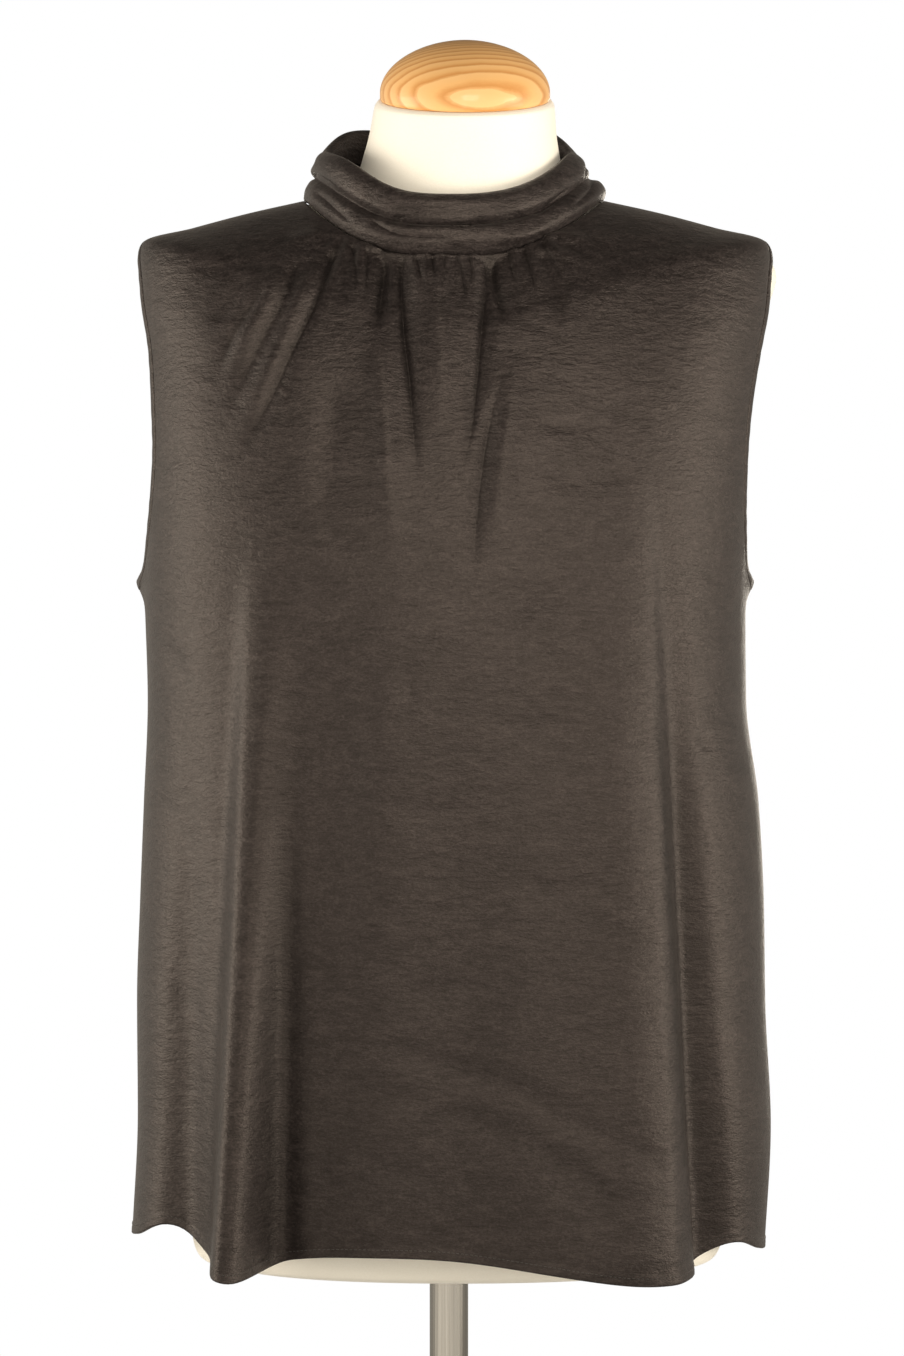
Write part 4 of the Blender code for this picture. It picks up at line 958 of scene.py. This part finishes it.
def crepe_material(name, darker=1.0):
    """Satin crepe: short uneven crinkles that run across the cloth, a weave, soft sheen."""
    graph = new_material(name)
    noises, shares, normal = {}, [], None
    for kind, row in CREPE_NOISES.items():
        noise = dict(zip(CREPE_COLUMNS, row))
        noises[kind] = graph.noise(
            noise["scale"], noise["detail"], noise["roughness"], noise["distortion"])
        shares.append((noises[kind], noise["share"]))
        normal = graph.bump(noises[kind], noise["distance"], noise["strength"], normal)
    tones = [(place, tuple(darker * part for part in colour)) for place, colour in CREPE_TONES]
    # Painted shade: the colour darkens where the front's pinches are deep.
    painted_pinch_shade = graph.add("Attribute", attribute_name="painted_pinch_shade").outputs["Fac"]
    shade = graph.span(painted_pinch_shade, 1.0, 1.0 - PINCH_SHADE)
    return graph.finish(
        Base_Color=graph.vector("MULTIPLY", graph.ramp(graph.mixed(*shares), tones), shade),
        Roughness=graph.span(noises["crinkle"], 0.33, 0.52),
        Specular_IOR_Level=0.40,
        Specular_Tint=(1.0, 0.86, 0.78, 1.0),
        Sheen_Weight=0.05,
        Sheen_Roughness=0.40,
        Sheen_Tint=(1.0, 0.90, 0.82, 1.0),
        Normal=normal,
    )


def thread_material():
    graph = new_material("thread")
    twist = graph.noise((2600.0, 2600.0, 900.0), 1.0)
    colour, normal = graph.ramp(twist, THREAD_TONES), graph.bump(twist, 0.0001, 0.5)
    return graph.finish(Base_Color=colour, Roughness=0.6, Sheen_Weight=0.2, Normal=normal)


def jersey_material():
    """White jersey with a fine knit and faint unevenness."""
    graph = new_material("jersey")
    knit, patch = graph.noise((900.0, 900.0, 1300.0), 2.0), graph.noise((9.0, 9.0, 9.0), 3.0)
    return graph.finish(
        Base_Color=graph.ramp(graph.mixed((knit, 0.5), (patch, 0.5)), JERSEY_TONES),
        Roughness=graph.span(patch, 0.82, 0.95),
        Sheen_Weight=0.15,
        Specular_IOR_Level=0.2,
        Normal=graph.bump(knit, 0.0002, 0.35),
    )


def pine_material():
    """Lacquered pine. Its growth rings circle an upright line a little behind the middle,
    so that they show as nested arches on the turned front."""
    graph = new_material("pine")
    level = graph.vector("MULTIPLY", graph.add("TexCoord").outputs["Object"], (1.0, 1.0, 0.0))
    distance = graph.vector("DISTANCE", level, PITH, result="Value")
    warp = graph.noise((16.0, 16.0, 34.0), 2.0)
    distance = graph.math("ADD", distance, graph.math("MULTIPLY", warp, RING_WANDER))
    rings = graph.math("FRACT", graph.math("MULTIPLY", distance, 1.0 / RING_WIDTH))
    fibre, blotch = graph.noise((260.0, 260.0, 900.0), 3.0), graph.noise((40.0, 40.0, 40.0), 2.0)
    grain = graph.mixed((rings, 0.84), (fibre, 0.10), (blotch, 0.08))
    return graph.finish(
        Base_Color=graph.ramp(grain, PINE_TONES),
        Roughness=graph.span(fibre, 0.42, 0.52),
        Coat_Weight=0.16,
        Coat_Roughness=0.08,
        Specular_IOR_Level=0.35,
        Normal=graph.bump(fibre, 0.0001, 0.25),
    )


def chrome_material(name, roughness):
    graph = new_material(name)
    drawn = graph.noise((900.0, 900.0, 12.0), 2.0)
    rough = graph.span(drawn, roughness, roughness + 0.06)
    return graph.finish(Base_Color=graph.ramp(drawn, CHROME_TONES), Metallic=1.0, Roughness=rough)


def floor_material():
    graph = new_material("floor")
    patch = graph.noise((3.0, 3.0, 3.0), 2.0)
    return graph.finish(Base_Color=graph.ramp(patch, FLOOR_TONES), Roughness=0.7)


# ---------------------------------------------------------------- cloth pieces

# Rows by columns of each grid, the front's and back's from the hem up.
FRONT_GRID = (250, 288)
BACK_GRID = (200, 240)
COLLAR_GRID = (84, 360)
BINDING_STATIONS = 420
BINDING_SIDES = 14
# Stretches where a grid is closer, from -1 to 1 over its width or height: start, end, the
# ease at each, and how much closer. They are the gathers and the lines that fan out from
# them, and the height from the bust up.
COLUMNS_CLOSER = ((-0.43, 0.37, 0.08, 0.08, 1.3), (-0.72, 0.60, 0.08, 0.10, 0.6))
ROWS_CLOSER = ((0.30, 2.00, 0.30, 0.10, 1.2),)

HEM_DEPTH = 0.0055
HEM_THICKEN = 0.0005
HEM_STEP = 0.0012
HEM_RUNS = (0.0, 0.0012, 0.0028, 0.0042, 0.0052, 0.0058, 0.0066, 0.0085)
HEM_RUNS_END = 0.0115
HEM_STITCH_RUN = 0.0047
HEM_STITCH_DIP = 0.0003
HEM_STITCH_DIP_WIDTH = 0.0007
# A pinch this deep, in millimetres, gets the full painted shade.
PINCH_FULL_MM = 1.2


def panel_runs(count):
    """Runs from hem to neckline, closest at the turned hem."""
    share = spread(ROWS_CLOSER, count - len(HEM_RUNS))
    above = HEM_RUNS_END + (RUN_NECK - HEM_RUNS_END) * 0.5 * (share + 1.0)
    return np.concatenate([HEM_RUNS, above])


def build_panel(name, node, grid, runs, skip, crepe, thread, **slit):
    """A panel's shell, thicker where the hem is turned up, and the hem's stitches."""
    turned_up = HEM_THICKEN * (1.0 - soft_step((runs - HEM_DEPTH) / HEM_STEP))
    dip = HEM_STITCH_DIP * np.exp(-(((runs - HEM_STITCH_RUN) / HEM_STITCH_DIP_WIDTH) ** 2))
    extra = (turned_up - dip)[:, None]
    panel = cloth_shell(name + "_cloth", grid, CLOTH_WALL, crepe, skip, extra, **slit)
    ready(panel, "crepe", node)
    row = int(np.argmin(np.abs(runs - HEM_STITCH_RUN)))
    normals = grid_normals(grid)[row]
    seat = grid[row] + normals * (0.5 * CLOTH_WALL + HEM_THICKEN - HEM_STITCH_DIP)
    stitches = ready(stitch_row(name + "_hem_stitches", seat, normals, thread), "crepe")
    return panel, stitches


def build_front(crepe, thread):
    """The front. Each point keeps how deep its pinch is, which the material paints as shade."""
    runs = panel_runs(FRONT_GRID[0])
    columns = spread(COLUMNS_CLOSER, FRONT_GRID[1])
    grid = panel_point(-1, columns[None, :], runs[:, None])
    front, stitches = build_panel("front", "blouse_front", grid, runs, 3, crepe, thread)
    painted_pinch_shade = crease_depth(1e3 * grid[..., 0], 1e3 * grid[..., 2], FRONT_PINCHES)
    shade = np.zeros(len(front.data.vertices), np.float32)
    shade[: painted_pinch_shade.size] = np.clip(painted_pinch_shade.ravel() / PINCH_FULL_MM, 0.0, 1.0)
    layer = front.data.attributes.new("painted_pinch_shade", "FLOAT", "POINT")
    layer.data.foreach_set("value", shade)


# The slit opens over SLIT_FOOT above its foot. Only the cloth beside it draws back, over
# SLIT_SPREAD of the panel's half width.
SLIT_LENGTH = 0.100
SLIT_WIDTH = 0.0012
SLIT_SPREAD = 0.02
SLIT_FOOT = 0.01


def build_back(crepe, thread):
    """The back, from right to left, with a slit at its centre from the neckline down."""
    runs = panel_runs(BACK_GRID[0])
    half = np.linspace(1.0, 0.0, BACK_GRID[1] // 2)
    columns = np.concatenate([half, -half[::-1]])
    grid = panel_point(1, columns[None, :], runs[:, None])
    foot = int(np.argmin(np.abs(runs - (RUN_NECK - SLIT_LENGTH))))
    opened = 0.5 * SLIT_WIDTH * soft_step((runs - runs[foot]) / SLIT_FOOT)
    side = np.where(np.arange(len(columns)) < len(half), 1.0, -1.0)
    grid[..., 0] += opened[:, None] * (side * np.exp(-((columns / SLIT_SPREAD) ** 2)))
    back, stitches = build_panel(
        "back", "blouse_back", grid, runs, 2, crepe, thread, cut=len(half), foot=foot)


def collar_point(row, angle):
    """A point on the collar. row counts its rings, and may fall between two."""
    table = read_columns(COLLAR_COLUMNS, COLLAR_RINGS)
    rows = np.arange(len(COLLAR_RINGS), dtype=float)
    ring = {name: smooth_between(rows, table[name], row) for name in COLLAR_COLUMNS}
    top_rise = np.where(np.cos(angle) > 0, COLLAR_RISE_FRONT, COLLAR_RISE_BACK)
    height = soft_step(row / COLLAR_TOP_ROW)
    rise = COLLAR_RISE_SEAM + (top_rise - COLLAR_RISE_SEAM) * height
    point = ring_point(angle, square=COLLAR_SQUARE, rise=rise, **ring)
    turn = (np.degrees(angle) - COLLAR_LIFT_DEG) / COLLAR_LIFT_WIDTH_DEG
    point[..., 2] += COLLAR_LIFT * np.exp(-(turn**2)) * height
    return point


COLLAR_OPENING_DEG = 0.45
COLLAR_MM_PER_DEG = 1.57
ALLOWANCE_IN = 0.0018
ALLOWANCE_DROP = 0.0008
ALLOWANCE_FRONT_IN = 0.0040
ALLOWANCE_FRONT_DROP = 0.0052
ALLOWANCE_FRONT_POWER = 1.5
ALLOWANCE_KNEE = 0.65


def seam_allowance(edge, angles):
    """Rows that turn in below the collar's lower edge and pass behind the neckline."""
    front = np.clip(np.cos(angles), 0.0, 1.0) ** ALLOWANCE_FRONT_POWER
    inward = unit(edge * (-1.0, -1.0, 0.0))
    lowest = edge + inward * (ALLOWANCE_IN + ALLOWANCE_FRONT_IN * front)[:, None]
    lowest[:, 2] -= ALLOWANCE_DROP + ALLOWANCE_FRONT_DROP * front
    halfway = (1.0 - ALLOWANCE_KNEE) * edge + ALLOWANCE_KNEE * lowest
    halfway[:, 2] = ALLOWANCE_KNEE * edge[:, 2] + (1.0 - ALLOWANCE_KNEE) * lowest[:, 2]
    return np.stack([lowest, halfway])


def build_collar(crepe):
    opening = math.radians(COLLAR_OPENING_DEG)
    angles = np.linspace(-math.pi + opening, math.pi - opening, COLLAR_GRID[1])
    rows = np.linspace(0.0, len(COLLAR_RINGS) - 1.0, COLLAR_GRID[0])
    grid = collar_point(*np.broadcast_arrays(rows[:, None], angles))
    up = 1e3 * arc_lengths(grid, 0)
    across = np.broadcast_to(np.degrees(angles) * COLLAR_MM_PER_DEG, up.shape)
    creases = [
        (*crease[:6], *[(degrees * COLLAR_MM_PER_DEG, height) for degrees, height in crease[6:]])
        for crease in COLLAR_CREASES
    ]
    depth = 1e-3 * crease_depth(across, up, creases)
    grid = grid - grid_normals(grid) * depth[..., None]
    grid = np.concatenate([seam_allowance(grid[0], angles), grid])
    collar = ready(cloth_shell("collar_cloth", grid, COLLAR_WALL, crepe, 1), "crepe", "collar")


BINDING_SQUARE = 2.6
PUCKER = 0.12
PUCKER_RUN = 0.0021
PUCKER_SWELL_RUN = 0.0173
PUCKER_PHASE = 1.0
BINDING_STITCH_PLACE = 0.55
BINDING_STITCH_SINK = 0.0001


def build_binding(name, node, side, crepe, thread):
    """A rounded strip round the armhole, edge-stitched near its inner side."""
    edge, inner = [], []
    for face, q in round_armhole(eased_steps(BINDING_STATIONS // 2 + 1)):
        run, angle = arm_run(q), side * edge_angle(face, arm_run(q))
        turn, climb = binding_way(face, side, run)
        edge.append(ring_surface(face, angle, run))
        inner.append(ring_surface(face, angle + BINDING_WIDTH * turn, run + BINDING_WIDTH * climb))
    edge, inner = np.array(edge), np.array(inner)
    middle = 0.5 * (edge + inner)
    width = 0.5 * np.linalg.norm(inner - edge, axis=1, keepdims=True)
    into = unit(inner - edge)
    out = unit(np.cross(np.roll(middle, -1, axis=0) - np.roll(middle, 1, axis=0), into)) * -side
    travelled = arc_lengths(middle, 0)
    swell = np.sin(travelled / PUCKER_SWELL_RUN + PUCKER_PHASE)
    pucker = np.sin(travelled / PUCKER_RUN) * swell
    thick = 0.5 * BINDING_WALL * (1.0 + PUCKER * pucker[:, None])
    ring = []
    for turn in full_turn(BINDING_SIDES):
        a, b = math.cos(turn), math.sin(turn)
        reach = (abs(a) ** BINDING_SQUARE + abs(b) ** BINDING_SQUARE) ** (-1.0 / BINDING_SQUARE)
        ring.append(middle + into * width * a * reach + out * thick * b * reach)
    points = np.stack(ring, axis=1).reshape(-1, 3)
    piece = new_mesh_object(name, points, looped_faces(points, BINDING_SIDES), crepe)
    ready(piece, "crepe", node)
    seat = middle + into * BINDING_STITCH_PLACE * width
    seat = seat + out * (0.5 * BINDING_WALL - BINDING_STITCH_SINK)
    seat, out = np.concatenate([seat, seat[:1]]), np.concatenate([out, out[:1]])
    stitches = ready(stitch_row(name + "_stitches", seat, out, thread), "crepe")


# ---------------------------------------------------------------- buttons, form and cap

BUTTON_RADIUS = 0.0050
BUTTON_THICK = 0.0034
BUTTON_ROWS = {"neck_button_lower": 1.0, "neck_button_upper": 4.5}
BUTTON_CLEAR = 0.0004
BUTTON_TURN_DEG = 6.0
BUTTON_SEAT_STEP = 0.3
# Its profile: the flat back, as shares of its radius and half thickness, then an arc.
BUTTON_BACK = ((0.30, -1.0), (0.62, -1.0))
BUTTON_ARC = (-0.40 * math.pi, 0.5 * math.pi)
BUTTON_STEPS = 14
BUTTON_BULGE = 0.8
BUTTON_SIDES = 28
LOOP_HEIGHT = 0.6
CAD_COLLAR_WALL = 0.0022


def build_buttons(crepe, thread):
    """Covered buttons on the collar's right end, each held by a thread loop from the left."""
    half = 0.5 * BUTTON_THICK
    profile = [(share * BUTTON_RADIUS, height * half) for share, height in BUTTON_BACK]
    for turn in np.linspace(*BUTTON_ARC, BUTTON_STEPS)[:-1]:
        profile.append((BUTTON_RADIUS * math.cos(turn) ** BUTTON_BULGE, half * math.sin(turn)))
    angle = np.float64(math.pi - math.radians(BUTTON_TURN_DEG))
    for name, row in BUTTON_ROWS.items():
        below, seat, above = (
            collar_point(np.float64(row + step), angle)
            for step in (-BUTTON_SEAT_STEP, 0.0, BUTTON_SEAT_STEP)
        )
        slope = above - below
        tilt = math.atan2(slope[2], slope[1]) - math.pi
        out = np.array([0.0, -math.sin(tilt), math.cos(tilt)])
        place = seat + out * (half + 0.5 * CAD_COLLAR_WALL + BUTTON_CLEAR)
        cover = turned(name + "_cover", profile, BUTTON_SIDES, crepe, tilt, place)
        ready(cover, "crepe", name)
        ready(button_loop(name + "_loop", place - out * LOOP_HEIGHT * half, out, thread), "crepe")


# The loop starts at two points side by side, widens to its neck and turns round the
# button. Places are from the button's middle, along the collar and up.
LOOP_SLACK = 0.0005
LOOP_RADIUS = 0.00055
LOOP_SIDES = 6
LOOP_START = (-BUTTON_RADIUS - 0.0095, 0.0012)
LOOP_NECK = (-0.7 * (BUTTON_RADIUS + LOOP_SLACK) - 0.002, 0.0042)
LOOP_SINK = 0.0012
LOOP_TURN = 2.2
LOOP_STEPS = 18


def button_loop(name, centre, out, material):
    """A thread loop round the button, from the collar's other end."""
    side = np.array([1.0, 0.0, 0.0])
    up = unit(np.cross(out, side))
    reach = BUTTON_RADIUS + LOOP_SLACK
    ends = [LOOP_START, LOOP_NECK]
    turns = np.linspace(-LOOP_TURN, LOOP_TURN, LOOP_STEPS)
    path = [(x, -z) for x, z in ends]
    path += zip(reach * np.cos(turns), reach * np.sin(turns))
    path += ends[::-1]
    line = np.array([centre + side * x + up * z for x, z in path])
    line[[0, -1]] -= out * LOOP_SINK
    along = unit_tangents(line)
    across = unit(np.cross(along, out))
    rim = thread_rim(LOOP_RADIUS, LOOP_SIDES, across, unit(np.cross(across, along)))
    points = (line[:, None] + rim).reshape(-1, 3)
    return new_mesh_object(name, points, tube_faces(len(line), LOOP_SIDES), material)


FORM_GRID = (200, 180)


def build_form(jersey):
    """The covered torso, its rings joined by smooth lines that run up through them."""
    angles = full_turn(FORM_GRID[1])
    rings = []
    for values in FORM_RINGS:
        row = dict(zip(FORM_COLUMNS, values))
        place = (row.pop("centre_x"), row.pop("centre_y"), 0.0)
        half_width = row.pop("half_width")
        rings.append(ring_point(angles, half_width, half_width, square=FORM_SQUARE, **row) + place)
    rings = np.array(rings)
    stations = np.arange(len(rings), dtype=float)
    rows = np.linspace(0.0, len(rings) - 1.0, FORM_GRID[0])
    grid = np.empty((len(rows), len(angles), 3))
    for k, axis in np.ndindex(len(angles), 3):
        grid[:, k, axis] = smooth_between(stations, rings[:, k, axis], rows)
    faces = tube_faces(*grid.shape[:2])
    ready(new_mesh_object("form_cover", grid.reshape(-1, 3), faces, jersey), "jersey", "dress_form")


CAP_RADIUS = 0.0550
CAP_HEIGHT = 0.0383
CAP_WALL_HEIGHT = 0.0050
CAP_ROUND = 1.92
CAP_GAP = 0.0004
CAP_SIDES = 96
CAP_STEPS = 34
# How far in from the radius its lower edge is eased, at each height.
CAP_FOOT = ((0.0012, 0.0), (0.0004, 0.0005), (0.0, 0.0014))


def build_neck_cap(pine):
    """The turned cap, with an eased lower edge and a dome that rounds off to its top."""
    profile = [(CAP_RADIUS - eased, height) for eased, height in CAP_FOOT]
    profile += [(CAP_RADIUS, share * CAP_WALL_HEIGHT) for share in (0.5, 1.0)]
    rise, power = CAP_HEIGHT - CAP_WALL_HEIGHT, 2.0 / CAP_ROUND
    for turn in np.linspace(0.0, 0.5 * math.pi, CAP_STEPS)[1:-1]:
        radius = CAP_RADIUS * math.cos(turn) ** power
        profile.append((radius, CAP_WALL_HEIGHT + rise * math.sin(turn) ** power))
    top = dict(zip(FORM_COLUMNS, FORM_RINGS[-1]))
    tilt = math.atan2(top["z_back"] - top["z_front"], top["front"] + top["back"])
    gap = CAP_GAP * np.array([0.0, -math.sin(tilt), math.cos(tilt)])
    place = np.array([top["centre_x"], top["centre_y"], top["z_side"]]) + gap
    ready(turned("cap_turned", profile, CAP_SIDES, pine, tilt, place), "pine", "neck_cap")


METAL_ROUGHNESS = {"pole": 0.16, "base_hub": 0.20, "base_plate": 0.22}


def finish_metal():
    """The solids that show as they are, in their own metal."""
    for name, roughness in METAL_ROUGHNESS.items():
        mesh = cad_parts[name].data
        metal = chrome_material(name + "_chrome", roughness)
        for index in range(len(mesh.materials)):
            mesh.materials[index] = metal


# ---------------------------------------------------------------- light and floor

LIGHT_COLOUR = (1.0, 0.92, 0.79)
LIGHT_COLUMNS = ("name", "place", "target", "size", "watts", "spread_deg")
LIGHTS = (
    ("left_window", (-2.5, -0.30, 1.18), (0.0, 0.0, 1.18), (1.6, 1.0), 8.9, 80.0),
    ("right_window", (2.5, -0.90, 1.12), (0.0, 0.0, 1.12), (1.5, 1.0), 8.0, 66.0),
    ("front_fill", (0.14, -1.15, 1.55), (0.0, -0.1, 1.36), (0.4, 0.4), 7.5, 180.0),
    ("low_strip", (-0.05, -3.0, 0.3), (0.0, 0.0, 0.7), (0.30, 0.7), 4.0, 180.0),
    ("back_fill", (0.3, 2.6, 1.25), (0.0, 0.0, 1.1), (1.6, 1.2), 38.0, 180.0),
)

# Brightness of the room from behind the camera (0) round to behind the object (1), and
# from straight down (0) to straight up (1).
ROOM_DEPTH_TONES = ((0, 0.16), (0.15, 0.20), (0.32, 0.70), (0.50, 1.25), (0.74, 0.75), (1, 0.45))
ROOM_HEIGHT_TONES = ((0, 0.10), (0.40, 0.30), (0.50, 1.0), (0.60, 0.85), (0.74, 0.28), (1, 0.05))
# The lit floor, added from straight down (0) up to the horizon (0.5), and how much of it
# there is from behind the camera (0) round to behind the object (1).
ROOM_FLOOR_TONES = ((0, 0.40), (0.28, 0.90), (0.38, 1.55), (0.45, 1.55), (0.49, 0), (1, 0))
ROOM_FLOOR_SHARES = ((0, 1.0), (0.22, 0.9), (0.50, 0.12), (1, 0.10))
ROOM_COLOUR = (1.0, 0.925, 0.80)
ROOM_STRENGTH = 1.15
# The room is this much darker than its middle at the right, and brighter at the left.
RIGHT_DARKER = 0.18
WHITE = (1.0, 1.0, 1.0, 1.0)

FLOOR_RADIUS = 2.2
FLOOR_SIDES = 96


def area_light(name, place, target, size, watts, spread_deg):
    data = bpy.data.lights.new(name, "AREA")
    data.shape = "RECTANGLE"
    data.size, data.size_y = size
    data.energy = watts
    data.color = LIGHT_COLOUR
    data.spread = math.radians(spread_deg)
    light = bpy.data.objects.new(name, data)
    light.location = place
    x, y, z = np.array(target, float) - place
    light.rotation_euler = (math.atan2(math.hypot(x, y), -z), 0.0, math.atan2(y, x) - 0.5 * math.pi)
    light.visible_camera = False
    bpy.context.scene.collection.objects.link(light)


def build_world():
    """White to the camera; to the object, a pale room, dark above and behind the camera."""
    graph = Nodes(bpy.data.worlds.new("room"))
    bpy.context.scene.world = graph.owner
    graph.tree.nodes.clear()
    way = graph.add("TexCoord").outputs["Generated"]
    split = graph.add("SeparateXYZ", (("Vector", way),)).outputs

    def along(axis, tones):
        place = graph.span(split[axis], 0.0, 1.0, first=-1.0)
        return graph.ramp(place, [(stop, (tone, tone, tone)) for stop, tone in tones])

    room = graph.vector("MULTIPLY", along("Y", ROOM_DEPTH_TONES), along("Z", ROOM_HEIGHT_TONES))
    floor = graph.vector("MULTIPLY", along("Z", ROOM_FLOOR_TONES), along("Y", ROOM_FLOOR_SHARES))
    room = graph.vector("ADD", room, floor)
    room = graph.vector("MULTIPLY", room, graph.math("MULTIPLY_ADD", split["X"], -RIGHT_DARKER, 1.0))
    room = graph.vector("MULTIPLY", room, ROOM_COLOUR)
    lit = graph.add("Background", (("Color", room), ("Strength", ROOM_STRENGTH))).outputs[0]
    seen = graph.add("Background", (("Color", WHITE),)).outputs[0]
    by_camera = graph.add("LightPath").outputs["Is Camera Ray"]
    mix = graph.add("MixShader", (("Fac", by_camera), (1, lit), (2, seen))).outputs[0]
    graph.add("OutputWorld", (("Surface", mix),))


def build_floor():
    angles = full_turn(FLOOR_SIDES)
    rim = FLOOR_RADIUS * np.stack([np.cos(angles), np.sin(angles), 0.0 * angles], axis=1)
    new_mesh_object("floor", rim, [range(FLOOR_SIDES)], floor_material())


def main():
    build_camera()
    crepe = crepe_material("crepe_cloth")
    strip = crepe_material("crepe_strip", STRIP_SHADE)
    thread = thread_material()
    build_front(crepe, thread)
    build_back(crepe, thread)
    build_collar(crepe)
    build_binding("left_armhole_strip", "armhole_binding_left", -1, strip, thread)
    build_binding("right_armhole_strip", "armhole_binding_right", 1, strip, thread)
    build_buttons(strip, thread)
    build_form(jersey_material())
    build_neck_cap(pine_material())
    finish_metal()
    build_floor()
    build_world()
    for row in LIGHTS:
        area_light(**dict(zip(LIGHT_COLUMNS, row)))
    view = bpy.context.scene.view_settings
    view.view_transform = "Standard"
    view.look = "None"


main()
